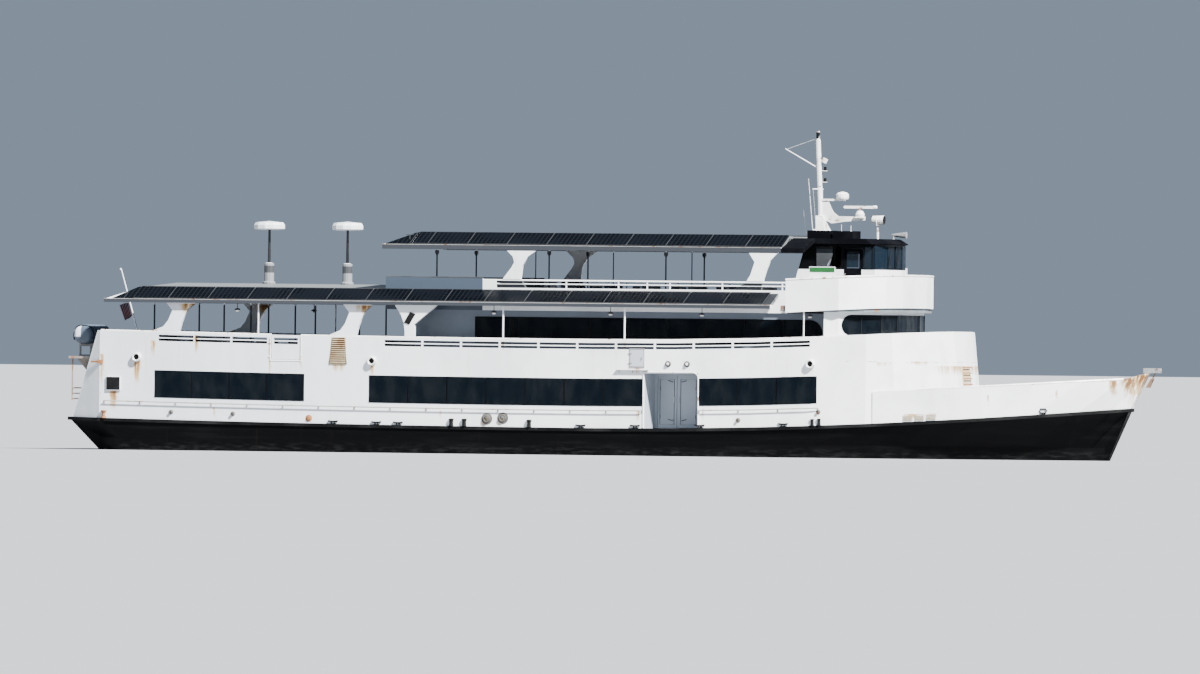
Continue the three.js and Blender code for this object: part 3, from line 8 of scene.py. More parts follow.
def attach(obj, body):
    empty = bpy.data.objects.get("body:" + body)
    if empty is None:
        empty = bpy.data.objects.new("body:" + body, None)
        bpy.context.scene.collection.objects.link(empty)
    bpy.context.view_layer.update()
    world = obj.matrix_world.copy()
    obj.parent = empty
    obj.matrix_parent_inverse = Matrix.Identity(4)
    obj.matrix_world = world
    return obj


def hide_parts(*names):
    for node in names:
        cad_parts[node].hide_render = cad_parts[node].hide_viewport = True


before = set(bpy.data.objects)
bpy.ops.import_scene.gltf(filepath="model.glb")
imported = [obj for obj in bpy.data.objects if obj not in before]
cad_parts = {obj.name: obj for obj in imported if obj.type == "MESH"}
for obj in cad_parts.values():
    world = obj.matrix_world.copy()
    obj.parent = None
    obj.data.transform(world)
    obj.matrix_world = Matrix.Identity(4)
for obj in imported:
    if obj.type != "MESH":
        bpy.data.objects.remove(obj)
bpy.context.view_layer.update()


def place(name, data):
    made = bpy.data.objects.new(name, data)
    bpy.context.scene.collection.objects.link(made)
    return made


# Camera: starboard side, seen from a little forward of the beam and far off, as in the photograph
AZIMUTH = math.radians(17.0)
RANGE = 1000.0
PIXELS_A_METRE = 28.2
IMAGE_WIDTH = 1200
RIGHT = Vector((math.cos(AZIMUTH), math.sin(AZIMUTH), 0))
BACK = Vector((math.sin(AZIMUTH), -math.cos(AZIMUTH), 0))
TARGET = RIGHT * ((600 - 630.4) / PIXELS_A_METRE) + Vector((0, 0, (455 - 337) / PIXELS_A_METRE))
ROLL = math.atan(0.0108)

camera_data = bpy.data.cameras.new("camera")
camera = place("camera", camera_data)
camera_data.sensor_width = 36
camera_data.lens = PIXELS_A_METRE * RANGE / IMAGE_WIDTH * camera_data.sensor_width
camera_data.clip_start, camera_data.clip_end = 50, 6000
camera.location = TARGET + BACK * RANGE
camera.location.z = 3.7
camera.rotation_mode = "QUATERNION"
aim = (TARGET - camera.location).to_track_quat("-Z", "Y")
camera.rotation_quaternion = aim @ Quaternion((0, 0, 1), ROLL)
bpy.context.scene.camera = camera

# The ship's lines, as in the solids
STATIONS = [-19.6, -18.3, -15, -12, -9, -6, -3, 0, 3, 6, 8, 10, 11.2, 12.4, 14, 15.5, 17, 18, 18.49]
SHEER = [0.92 + (2.6e-3 if x > 0 else 0.5e-3) * x * x for x in STATIONS]
HALVES = [
    3.95 if x == -19.6 else 4.6 if x <= 6 else 4.6 * (1 - ((x - 6) / 12.6) ** 2.4) ** 0.8
    for x in STATIONS
]


def between(values, x):
    k = 1
    while k < len(STATIONS) - 1 and x > STATIONS[k]:
        k += 1
    share = (x - STATIONS[k - 1]) / (STATIONS[k] - STATIONS[k - 1])
    return values[k - 1] + (values[k] - values[k - 1]) * share


def sheer(x):
    return between(SHEER, x)


def half(x):
    return between(HALVES, x)


class Look:
    """A procedural material built on one Principled shader."""

    def __init__(self, name, rough=0.5, metal=0.0, shine=0.5, **sockets):
        self.material = bpy.data.materials.new(name)
        self.material.use_nodes = True
        self.tree = self.material.node_tree
        self.tree.nodes.clear()
        out = self.node("ShaderNodeOutputMaterial")
        self.shader = self.node("ShaderNodeBsdfPrincipled")
        self.tree.links.new(self.shader.outputs[0], out.inputs[0])
        self.put("Roughness", rough)
        self.put("Metallic", metal)
        self.put("Specular IOR Level", shine)
        for key, value in sockets.items():
            self.put(key.replace("_", " "), value)
        self.coords = self.node("ShaderNodeTexCoord").outputs["Object"]
        parts = self.node("ShaderNodeSeparateXYZ")
        self.link(self.coords, parts.inputs[0])
        self.x, self.y, self.z = parts.outputs

    def node(self, kind, **props):
        made = self.tree.nodes.new(kind)
        for key, value in props.items():
            setattr(made, key, value)
        return made

    def link(self, source, socket):
        self.tree.links.new(source, socket)

    def feed(self, socket, value):
        if isinstance(value, bpy.types.NodeSocket):
            self.link(value, socket)
        elif isinstance(value, tuple) and len(value) == 3 and socket.type == "RGBA":
            socket.default_value = (*value, 1)
        else:
            socket.default_value = value

    def put(self, name, value):
        self.feed(self.shader.inputs[name], value)

    def math(self, operation, a, b=0.0):
        made = self.node("ShaderNodeMath", operation=operation)
        self.feed(made.inputs[0], a)
        self.feed(made.inputs[1], b)
        return made.outputs[0]

    def times(self, a, b):
        return self.math("MULTIPLY", a, b)

    def most(self, a, b):
        return self.math("MAXIMUM", a, b)

    def size(self, value):
        return self.math("ABSOLUTE", value)

    def facing(self):
        """The x, y and z of the direction that the surface faces."""
        parts = self.node("ShaderNodeSeparateXYZ")
        self.link(self.node("ShaderNodeNewGeometry").outputs["Normal"], parts.inputs[0])
        return parts.outputs

    def noise(self, scale, detail=3.0, stretch=(1, 1, 1), shift=0.0):
        mapping = self.node("ShaderNodeMapping")
        self.link(self.coords, mapping.inputs["Vector"])
        mapping.inputs["Scale"].default_value = stretch
        mapping.inputs["Location"].default_value = (shift, shift * 1.7, shift * 0.6)
        made = self.node("ShaderNodeTexNoise")
        self.link(mapping.outputs[0], made.inputs["Vector"])
        made.inputs["Scale"].default_value = scale
        made.inputs["Detail"].default_value = detail
        made.inputs["Roughness"].default_value = 0.55
        return made.outputs[0]

    def ramp(self, value, low, high, a=0.0, b=1.0):
        made = self.node("ShaderNodeMapRange", interpolation_type="SMOOTHSTEP")
        self.feed(made.inputs["Value"], value)
        for key, number in zip(("From Min", "From Max", "To Min", "To Max"), (low, high, a, b)):
            made.inputs[key].default_value = number
        return made.outputs[0]

    def mix(self, share, a, b):
        made = self.node("ShaderNodeMix", data_type="RGBA")
        self.feed(made.inputs[0], share)
        self.feed(made.inputs[6], a)
        self.feed(made.inputs[7], b)
        return made.outputs[2]

    def above(self, value, edge, soft=0.004):
        """1 where the value is over an edge, else 0."""
        return self.ramp(value, edge - soft, edge + soft)

    def within(self, value, low, high, soft=0.004):
        """1 where the value is between two edges, else 0."""
        under = self.ramp(value, high - soft, high + soft, 1, 0)
        return self.times(self.above(value, low, soft), under)

    def lines(self, value, pitch, width, start=0.0):
        """1 on a thin line at every pitch, else 0."""
        moved = self.math("SUBTRACT", value, start - pitch / 2)
        wrapped = self.math("MODULO", self.math("ADD", moved, 1000 * pitch), pitch)
        off = self.size(self.math("SUBTRACT", wrapped, pitch / 2))
        return self.ramp(off, width / 2, width, 1.0, 0.0)

    def bump(self, height, strength, distance):
        made = self.node("ShaderNodeBump")
        made.inputs["Strength"].default_value = strength
        made.inputs["Distance"].default_value = distance
        self.link(height, made.inputs["Height"])
        self.link(made.outputs[0], self.shader.inputs["Normal"])

    def streaks(self, marks):
        """Rust runs from [x, top, half-width, length, strength]."""
        sway = self.math("SUBTRACT", self.noise(1.3, 2, (0.2, 0.2, 3)), 0.5)
        wobble = self.times(sway, 0.12)
        x = self.math("ADD", self.x, wobble)
        total = 0.0
        for at, top, wide, long, strength in marks:
            off = self.size(self.math("SUBTRACT", x, at))
            across = self.ramp(off, wide * 0.2, wide, 1, 0)
            down = self.math("SUBTRACT", top, self.z)
            fade = self.times(self.ramp(down, -0.02, 0.03), self.ramp(down, 0, long, strength, 0))
            total = self.most(total, self.times(across, fade))
        return self.times(total, self.ramp(self.noise(9, 4, (1, 1, 0.12)), 0.3, 0.62, 0.25, 1))


RUST = (0.17, 0.062, 0.014)
RUST_PALE = (0.4, 0.245, 0.06)
RUST_DARK = (0.06, 0.024, 0.01)
WHITE = (0.87, 0.89, 0.91)
DULL_WHITE = (0.62, 0.64, 0.655)
BLACK = (0.002, 0.0022, 0.0026)
SHADE_WALL = (0.115, 0.14, 0.18)
FASCIA = (0.032, 0.036, 0.043)
POST_SHADE = (0.03, 0.034, 0.04)
BOARD_SHADE = (0.032, 0.047, 0.07)


def white_paint(name, marks=(), grime=1.0, seams=False, bands=None, shine=0.5):
    look = Look(name, shine=shine)
    patch = look.noise(0.4, 5)
    runs = look.noise(1.1, 5, (5, 5, 0.22), 7)
    specks = look.noise(5, 6, (1, 1, 0.6), 3)
    base = look.mix(look.ramp(patch, 0.42, 0.72, 0, 0.7), WHITE, DULL_WHITE)
    base = look.mix(look.ramp(look.x, -19, 6, 0.7, 0), base, (0.5, 0.53, 0.57))
    stain = look.times(look.ramp(runs, 0.58, 0.78), look.ramp(patch, 0.4, 0.62))
    base = look.mix(look.times(stain, 0.2 * grime), base, RUST_PALE)
    spots = look.times(look.ramp(specks, 0.72, 0.78), look.ramp(patch, 0.52, 0.7))
    base = look.mix(look.times(spots, 0.35 * grime), base, RUST)
    if marks:
        run = look.streaks(marks)
        base = look.mix(look.ramp(run, 0.05, 0.5, 0, 0.85), base, RUST_PALE)
        base = look.mix(look.ramp(run, 0.4, 0.9, 0, 0.9), base, RUST)
    if bands:
        base = bands(look, base)
    look.put("Base Color", base)
    look.put("Roughness", look.ramp(patch, 0.3, 0.8, 0.35, 0.55))
    height = look.times(look.noise(1.6, 2, (1, 1, 1.4)), 0.5)
    if seams:
        seam = look.most(look.lines(look.x, 2.4, 0.012), look.lines(look.z, 1.07, 0.012, 0.35))
        frames = look.lines(look.x, 0.6, 0.22)
        height = look.math("ADD", height, look.times(seam, 0.1))
        height = look.math("ADD", height, look.times(frames, 0.12))
    look.bump(height, 0.4, 0.03)
    return look.material


def roof_bands(look, base):
    """Dark edges and slopes of both canopies and their grey tops, with painted shade on their undersides
    and inner posts.
    """
    out = look.size(look.y)
    side = look.most(look.above(out, 4.72), look.ramp(look.x, -18.09, -18.05, 1, 0))
    low = look.times(look.within(look.z, 5.2, 5.355), side)
    edge = look.most(look.above(out, 3.68), look.ramp(look.x, -8.09, -8.05, 1, 0))
    high = look.times(look.within(look.z, 7.2, 7.385), edge)
    base = look.mix(look.most(low, high), base, FASCIA)
    facing = look.facing()
    # Painted shade: surfaces that face down are darkened to a blue-grey.
    underside_shade = look.ramp(facing[2], -0.9, -0.6, 1, 0)
    base = look.mix(underside_shade, base, (0.065, 0.08, 0.1))
    # Painted shade: the inner posts under both canopies are darkened to a dark grey.
    inner = look.times(look.ramp(out, 2.9, 3.0, 1, 0), look.ramp(look.z, 5.17, 5.19, 1, 0))
    upper = look.times(look.ramp(out, 2.9, 3.0, 1, 0), look.within(look.z, 5.6, 7.19))
    base = look.mix(look.most(inner, upper), base, POST_SHADE)
    top = look.times(look.above(look.z, 7.4), look.above(look.x, -6.98, 0.02))
    lower_top = look.times(look.within(look.z, 5.375, 6.2), look.above(look.x, -16.98, 0.02))
    top = look.most(top, lower_top)
    slope = look.above(look.size(facing[1]), 0.2, 0.02)
    return look.mix(top, base, look.mix(slope, (0.13, 0.14, 0.145), (0.01, 0.012, 0.015)))


def shade_bands(look, base):
    """Painted shade: the recessed walls are a flat blue-grey instead of white."""
    return look.mix(look.ramp(look.noise(0.7, 4), 0.3, 0.7), SHADE_WALL, (0.09, 0.112, 0.145))


def bridge_bands(look, base):
    """Black above the sills of the pilothouse windows."""
    return look.mix(look.above(look.z, 6.66), base, BLACK)


def vent_bands(look, base):
    """A white cap on a black pipe, over a pale foot with a dark band."""
    base = look.mix(look.ramp(look.z, 6.69, 6.7, 0.9, 0), base, (0.13, 0.14, 0.15))
    base = look.mix(look.within(look.z, 6.35, 6.6), base, (0.035, 0.038, 0.042))
    return look.mix(look.within(look.z, 6.71, 7.875), base, BLACK)


def door_shade_bands(look, base):
    """Painted shade: the doors and their recess are a pale blue-grey instead of white."""
    return look.mix(0.85, base, (0.3, 0.335, 0.39))


def raft_bands(look, base):
    """White only on the upper aft side, dark elsewhere."""
    open_end = look.times(look.ramp(look.x, -19.24, -19.21, 1, 0), look.above(look.z, 4.0, 0.02))
    return look.mix(open_end, (0.05, 0.07, 0.1), base)


def front_bands(look, base):
    """The stained plate behind the ladder, and a broken rust line along the plating's crease that also
    stands in for the crease's shadow.
    """
    across = look.ramp(look.size(look.y), 0.55, 0.57, 1, 0)
    plate = look.times(across, look.within(look.z, 2.36, 3.27))
    plate = look.times(plate, look.above(look.x, 12.2))
    worn_off = look.times(plate, look.ramp(look.noise(3, 5), 0.3, 0.6, 0.55, 1))
    base = look.mix(worn_off, base, (0.5, 0.36, 0.2))
    # Rust along the crease, and painted shadow under it: a thin dark line broken up by noise.
    wave = look.times(look.noise(2.5, 4), 0.05)
    crease_line = look.within(look.math("SUBTRACT", look.z, wave), 3.378, 3.396, 0.008)
    crease_rust_and_shadow = look.times(crease_line, look.ramp(look.noise(3.5, 4, shift=5), 0.45, 0.6, 0.05, 0.75))
    return look.mix(crease_rust_and_shadow, base, RUST)


def board_shade_bands(look, base):
    """Painted shade: blue-grey on the boards round the aft end of the top deck, which lie under the
    upper canopy.
    """
    return look.mix(look.ramp(look.x, -4.36, -4.35, 1, 0), base, BOARD_SHADE)


def hull_paint():
    look = Look("hull_paint", shine=0.05)
    scuff = look.noise(0.9, 6, (0.35, 0.35, 5))
    fine = look.noise(6, 6, (0.4, 0.4, 2), 5)
    runs = look.noise(1.3, 5, (4, 4, 0.2), 2)
    faded = look.ramp(scuff, 0.5, 0.75, 0, 0.7)
    base = look.mix(faded, (0.0012, 0.0013, 0.0016), (0.004, 0.0043, 0.0047))
    salt = look.times(look.ramp(look.z, 0.05, 0.45, 1, 0), look.ramp(fine, 0.45, 0.68))
    base = look.mix(look.times(salt, 0.3), base, (0.025, 0.027, 0.027))
    base = look.mix(look.times(look.ramp(runs, 0.64, 0.8), 0.05), base, (0.05, 0.036, 0.024))
    base = look.mix(look.ramp(look.z, -0.25, -0.05, 1, 0), base, (0.05, 0.016, 0.012))
    facing = look.facing()
    deck = look.times(look.above(facing[2], 0.8, 0.05), look.above(look.z, 0.7))
    base = look.mix(deck, base, (0.11, 0.14, 0.155))
    look.put("Base Color", base)
    look.put("Roughness", look.ramp(scuff, 0.3, 0.75, 0.38, 0.66))
    frames = look.lines(look.x, 0.6, 0.2)
    height = look.math("ADD", look.noise(1.4, 2), look.times(frames, 0.2))
    look.bump(height, 0.22, 0.03)
    return look.material


def worn(name, base, dark, rough, scale, metal=0.0, bump=0.25, rust=0.0, **sockets):
    """Plain paint, steel or plastic with blotches, fine grain and, where asked, rust."""
    look = Look(name, metal=metal, **sockets)
    blotch = look.noise(scale * 0.25, 5)
    grain = look.noise(scale * 9, 3)
    color = look.mix(look.ramp(blotch, 0.38, 0.7), base, dark)
    if rust:
        spread = look.ramp(look.noise(scale * 0.6, 6, shift=4), 0.62 - rust * 0.3, 0.7)
        color = look.mix(look.times(spread, 0.9), color, RUST)
        pits = look.ramp(look.noise(scale * 2, 5, shift=9), 0.66, 0.74, 0, rust)
        color = look.mix(pits, color, RUST_DARK)
    look.put("Base Color", color)
    look.put("Roughness", look.ramp(blotch, 0.3, 0.7, *rough))
    look.bump(grain, bump, 0.002)
    return look.material


def tinted(name, alpha, color):
    look = Look(name, Alpha=alpha, shine=0.07)
    smear = look.noise(2.2, 4, (1, 1, 0.5))
    film = look.mix(look.ramp(smear, 0.35, 0.75), color, (0.006, 0.008, 0.01))
    look.put("Base Color", film)
    look.put("Roughness", look.ramp(smear, 0.4, 0.8, 0.04, 0.16))
    return look.material


def solar(name, start):
    look = Look(name, shine=0.012)
    tone = look.noise(0.8, 3)
    base = look.mix(look.ramp(tone, 0.35, 0.7), (0.0008, 0.0012, 0.0022), (0.0018, 0.0026, 0.0045))
    cells = look.most(look.lines(look.x, 0.163, 0.016, start), look.lines(look.y, 0.157, 0.008))
    base = look.mix(look.times(cells, 0.5), base, (0.016, 0.018, 0.021))
    rim = look.lines(look.x, PITCH, 0.03, start)
    base = look.mix(look.times(rim, 0.5), base, (0.03, 0.033, 0.036))
    dust = look.ramp(look.noise(3, 5, shift=6), 0.55, 0.75, 0, 0.06)
    look.put("Base Color", look.mix(dust, base, (0.009, 0.009, 0.009)))
    look.put("Roughness", look.ramp(tone, 0.3, 0.7, 0.2, 0.4))
    look.bump(cells, 0.15, 0.001)
    return look.material


def cloth(name, base, dark):
    look = Look(name, rough=0.9, Sheen_Weight=0.05, Sheen_Roughness=0.5, shine=0.2)
    fade = look.noise(1.6, 4)
    threads = look.math("ADD", look.lines(look.x, 0.012, 0.004), look.lines(look.z, 0.012, 0.004))
    look.put("Base Color", look.mix(look.ramp(fade, 0.35, 0.7), base, dark))
    look.bump(look.math("ADD", look.noise(21, 3), threads), 0.3, 0.003)
    return look.material


SIDE_MARKS = [
    # x, top, half-width, length, strength
    [-16.89, 3.2, 0.17, 1.15, 1.0], [-17.75, 2.1, 0.2, 0.9, 0.9], [-18.2, 3.4, 0.1, 2.2, 0.7],
    [-16.3, 3.9, 0.12, 0.8, 0.9], [-14.7, 4.1, 0.1, 0.9, 0.9], [-11.95, 4.02, 0.07, 1.8, 1.0],
    [-3.95, 1.3, 0.22, 0.45, 0.8], [-3.36, 1.3, 0.2, 0.4, 0.7], [-10.8, 3.4, 0.07, 0.8, 0.7],
    [-9.4, 3.15, 0.35, 0.5, 0.6], [-8.14, 3.12, 0.1, 0.6, 0.7], [-3.3, 4.0, 0.06, 0.5, 0.6],
    [1.2, 4.0, 0.06, 0.5, 0.6], [1.65, 3.12, 0.22, 0.4, 0.5], [1.7, 1.6, 0.1, 0.6, 0.7],
    [4.1, 1.7, 0.08, 0.6, 0.6], [8.05, 3.2, 0.12, 0.5, 0.6], [-14.0, 1.55, 0.08, 0.5, 0.6],
    [-5.6, 1.55, 0.08, 0.5, 0.5],
]
CANOPY_MARKS = [
    [-14.95, 5.22, 0.5, 0.5, 1.0], [-8.4, 5.22, 0.5, 0.45, 0.95], [-16.3, 4.35, 0.25, 0.3, 0.9],
    [-9.7, 4.3, 0.25, 0.3, 0.7],
]
BOW_MARKS = [
    [18.9, 3.15, 0.8, 1.9, 0.75], [19.05, 3.05, 0.4, 1.2, 1.3], [18.62, 3.0, 0.3, 1.1, 1.2],
    [18.15, 2.85, 0.18, 0.8, 0.9], [11.6, 1.6, 0.4, 0.3, 0.6], [14.2, 2.3, 0.07, 0.7, 0.5],
    [16.4, 2.5, 0.06, 0.6, 0.55],
]
FRONT_MARKS = [[12.3, 3.3, 0.5, 0.5, 0.6], [10.6, 3.4, 0.6, 0.25, 0.45], [11.6, 3.45, 0.5, 0.25, 0.5]]

FIRST_LOW, FIRST_HIGH = -15.715, -6.425  # the first dividers of the two rows of solar panels
PITCH = 1.467  # a panel's length
M = {
    "side": white_paint("side_paint", SIDE_MARKS, seams=True),
    "canopy": white_paint("canopy_paint", CANOPY_MARKS, bands=roof_bands, shine=0.12),
    "bow": white_paint("bow_paint", BOW_MARKS, seams=True),
    "front": white_paint("front_paint", FRONT_MARKS, bands=front_bands),
    "clean": white_paint("clean_white", grime=0.3),
    "bridge": white_paint("bridge_paint", grime=0.3, bands=bridge_bands, shine=0.05),
    "shade": white_paint("shade_paint", grime=0.5, bands=shade_bands),
    "vent": white_paint("vent_paint", grime=0.2, bands=vent_bands),
    "boards": white_paint("board_paint", grime=0.8, bands=board_shade_bands),
    "hull": hull_paint(),
    "deck": worn("deck_paint", (0.13, 0.16, 0.175), (0.09, 0.11, 0.12), (0.7, 0.9), 5, rust=0.25),
    "rail": worn("rail_paint", (0.78, 0.785, 0.78), (0.62, 0.62, 0.6), (0.3, 0.5), 7, rust=0.12),
    "rub": worn("rub_paint", (0.003, 0.0033, 0.0036), (0.012, 0.0125, 0.013), (0.6, 0.85), 4,
                shine=0.06),
    "rusty": worn("rusted_steel", (0.2, 0.14, 0.09), (0.12, 0.065, 0.035), (0.6, 0.9), 6,
                  rust=0.7, bump=0.6),
    "platform": worn("platform_steel", (0.26, 0.235, 0.21), (0.15, 0.12, 0.095), (0.6, 0.85), 5,
                     rust=0.3, bump=0.5),
    "orange": worn("rust_orange", (0.26, 0.11, 0.035), (0.15, 0.055, 0.02), (0.7, 0.9), 9, bump=0.6),
    "steel": worn("galvanised_steel", (0.5, 0.51, 0.51), (0.36, 0.37, 0.37), (0.35, 0.6), 8,
                  metal=0.8, rust=0.2),
    "bronze": worn("bronze", (0.52, 0.36, 0.14), (0.3, 0.24, 0.13), (0.25, 0.5), 8, metal=0.95),
    "black": worn("roof_black", (0.0018, 0.002, 0.003), (0.004, 0.0045, 0.006), (0.7, 0.9), 5,
                  shine=0.02),
    "rubber": worn("black_rubber", (0.003, 0.0032, 0.0036), (0.007, 0.0073, 0.008), (0.6, 0.85), 12,
                   shine=0.12),
    "seat": worn("seat_plastic", (0.03, 0.042, 0.06), (0.02, 0.03, 0.045), (0.45, 0.7), 5),
    "grey": worn("grey_paint", (0.2, 0.21, 0.215), (0.14, 0.145, 0.145), (0.4, 0.6), 6, rust=0.15),
    "tan": worn("louvre_paint", (0.34, 0.29, 0.19), (0.24, 0.18, 0.1), (0.5, 0.7), 5, rust=0.45),
    "green": worn("screen_green", (0.001, 0.085, 0.012), (0.001, 0.06, 0.009), (0.4, 0.6), 6),
    "red": worn("screen_red", (0.35, 0.02, 0.02), (0.22, 0.015, 0.015), (0.4, 0.6), 6),
    "door": white_paint("door_shade_paint", grime=0.5, bands=door_shade_bands),
    "raft": white_paint("raft_paint", grime=0.2, bands=raft_bands),
    "dull": worn("dull_steel", (0.085, 0.085, 0.08), (0.05, 0.045, 0.04), (0.6, 0.8), 6, rust=0.3),
    "frame": worn("panel_frame", (0.018, 0.02, 0.024), (0.03, 0.033, 0.037), (0.5, 0.7), 6),
    "gutter": worn("gutter_paint", (0.3, 0.3, 0.29), (0.2, 0.2, 0.2), (0.5, 0.7), 6, rust=0.2),
    "glass": tinted("tinted_glass", 0.92, (0.0012, 0.0028, 0.005)),
    "pane": tinted("bridge_glass", 0.74, (0.005, 0.011, 0.019)),
    "solar_low": solar("solar_low", FIRST_LOW),
    "solar_high": solar("solar_high", FIRST_HIGH),
    "hip": solar("solar_hip", 100.0),
    "cover": cloth("cover_cloth", (0.075, 0.105, 0.145), (0.045, 0.068, 0.1)),
    "ensign": cloth("ensign_cloth", (0.008, 0.007, 0.012), (0.02, 0.005, 0.01)),
    "strap": cloth("strap_web", (0.008, 0.009, 0.012), (0.015, 0.016, 0.02)),
    "lamp": worn("lamp_lens", (0.75, 0.74, 0.7), (0.6, 0.58, 0.52), (0.12, 0.3), 9),
}



def by_word(table):
    """Turns {value: "words that have it"} into {word: value}."""
    return {word: value for value, words in table.items() for word in words.split()}


# The look of each node, by how its name starts
DRESS = by_word({
    "hull": "hull shaft_bracket rudder", "rub": "rub_rail",
    "side": "side_plating stern_plating bulwark_gate", "front": "house_front_plating",
    "bow": "bow_bulwark", "door": "vestibule boarding_door", "deck": "second_deck third_deck",
    "shade": "saloon_side saloon_aft", "clean": "saloon_front bridge_wing_bulwark",
    "canopy": "lower_canopy upper_canopy", "boards": "top_deck_bulwark", "bridge": "pilothouse",
    "black": "pilothouse_door pilothouse_roof", "rail": "mast radar_scanner searchlight flagstaff",
    "vent": "vent_post", "steel": "horn bow_chock", "rusty": "anchor", "platform": "stern_platform",
    "seat": "main_saloon_seats second_deck_seats top_deck_seats", "grey": "helm_console",
    "bronze": "propeller", "glass": "saloon_glass saloon_front_glass", "pane": "pilothouse_glass",
    "solar_low": "lower_solar", "solar_high": "upper_solar", "cover": "covered_raft",
})
for node_name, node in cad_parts.items():
    key = max((k for k in DRESS if node_name.startswith(k)), key=len)
    node.data.materials.clear()
    node.data.materials.append(M[DRESS[key]])

# Slot names for a piece of each look, white_paint for the rest; make() picks one but nothing uses it
SLOTS = by_word({
    "roof_black": "rubber black", "tinted_glass": "glass pane lamp", "rusted_steel": "orange",
    "galvanised_steel": "grey dull", "solar_glass": "hip", "cover_fabric": "cover strap ensign",
})
UP, OUT = (0, 0, 1), (0, -1, 0)  # axes of turned pieces, OUT from the starboard side
FULL_TURN = 2 * math.pi


def circle(sides):
    return [FULL_TURN * j / sides for j in range(sides)]


def across_to(axis):
    """Two directions square to an axis and to each other."""
    across = axis.cross(Vector((1, 0, 0) if abs(axis.z) >= 0.9 else UP)).normalized()
    return across, across.cross(axis)


def grid(rows, columns):
    """The quads of a sheet of points, row by row."""
    n = columns + 1
    return [
        (j * n + k, j * n + k + 1, (j + 1) * n + k + 1, (j + 1) * n + k)
        for j in range(rows) for k in range(columns)
    ]


class Form:
    """Gathers the faces of one piece."""

    def __init__(self):
        self.verts, self.faces = [], []

    def add(self, verts, faces):
        n = len(self.verts)
        self.verts += [tuple(v) for v in verts]
        self.faces += [tuple(n + k for k in f) for f in faces]
        return self

    def box(self, x0, x1, y0, y1, z0, z1):
        v = [(x, y, z) for x in (x0, x1) for y in (y0, y1) for z in (z0, z1)]
        sides = [(0, 1, 3, 2), (4, 6, 7, 5), (0, 4, 5, 1), (2, 3, 7, 6), (0, 2, 6, 4), (1, 5, 7, 3)]
        return self.add(v, sides)

    def skin(self, rings, loop=False):
        """Joins rings of points, with a cap on each end where they make no loop."""
        n = len(rings[0])
        faces = []
        spans = len(rings) if loop else len(rings) - 1
        for r in range(spans):
            a, b = r * n, ((r + 1) % len(rings)) * n
            faces += [(a + k, a + (k + 1) % n, b + (k + 1) % n, b + k) for k in range(n)]
        if not loop:
            faces += [tuple(range(n))[::-1], tuple(range((len(rings) - 1) * n, len(rings) * n))]
        return self.add([p for ring in rings for p in ring], faces)

    def tube(self, points, radius, sides=6, loop=False, end=None):
        points = [Vector(p) for p in points]
        rings = []
        for k, p in enumerate(points):
            before = points[k - 1] if k or loop else None
            after = points[(k + 1) % len(points)] if k < len(points) - 1 or loop else None
            across, up = across_to(((after or p) - (before or p)).normalized())
            share = k / max(1, len(points) - 1)
            r = radius if end is None else radius + (end - radius) * share
            rings.append([
                p + across * (r * math.cos(t)) + up * (r * math.sin(t)) for t in circle(sides)
            ])
        return self.skin(rings, loop=loop)

    def turned(self, profile, base, axis, sides=16):
        """Turns a profile of (radius, height) about an axis."""
        base, axis = Vector(base), Vector(axis).normalized()
        across, up = across_to(axis)
        return self.skin([
            [
                base + axis * h + across * (r * math.cos(t)) + up * (r * math.sin(t))
                for t in circle(sides)
            ]
            for r, h in profile
        ])

    def both(self):
        """Adds the same faces on the other side of the centreline."""
        return self.add([(x, -y, z) for x, y, z in self.verts], [f[::-1] for f in self.faces])

    def pair(self, *says, **more):
        return self.both().make(*says, **more)

    def make(self, name, look, body="root", bevel=0.0, slot=None, sharp=35):
        mesh = bpy.data.meshes.new(name)
        mesh.from_pydata(self.verts, [], self.faces)
        work = bmesh.new()
        work.from_mesh(mesh)
        bmesh.ops.recalc_face_normals(work, faces=work.faces)
        for face in work.faces:
            face.smooth = True
        for e in work.edges:
            e.smooth = len(e.link_faces) == 2 and e.calc_face_angle(0) < math.radians(sharp)
        work.to_mesh(mesh)
        work.free()
        made = place(name, mesh)
        mesh.materials.append(M[look])
        if bevel:
            mod = made.modifiers.new("edge", "BEVEL")
            mod.width, mod.segments, mod.limit_method = bevel, 2, "ANGLE"
        slot = slot or SLOTS.get(look, "white_paint")
        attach(made, body)
        return made


def along_side(x0, x1, out, rise):
    """Points along the starboard side, out from it and over the deck edge."""
    inside = [s for s in STATIONS if x0 + 0.01 < s < x1 - 0.01]
    return [Vector((x, -half(x) - out, sheer(x) + rise)) for x in [x0, *inside, x1]]


# Dark glass strips of the main-deck saloon, with their rims and mullions
LOWER_STRIPS = [(-16.22, -10.66, 4), (-8.25, 1.87, 7), (3.91, 8.25, 3)]  # ends and panes
SILL, HEAD = 0.83, 1.78  # over the deck edge
panes, rims = Form(), Form()
for x0, x1, count in LOWER_STRIPS:
    low, high = along_side(x0, x1, 0.004, SILL), along_side(x0, x1, 0.004, HEAD)
    out = Vector((0, -0.008, 0))
    panes.skin([[a, a + out, b + out, b] for a, b in zip(low, high)])
    rims.tube([*low, *reversed(high)], 0.013, loop=True)
    for k in range(1, count):
        x = x0 + (x1 - x0) * k / count
        y, z = -half(x) - 0.012, sheer(x)
        rims.box(x - 0.018, x + 0.018, y - 0.008, y, z + SILL, z + HEAD)
panes.pair("saloon_strip_glass", "glass")
rims.pair("saloon_strip_rims", "black")

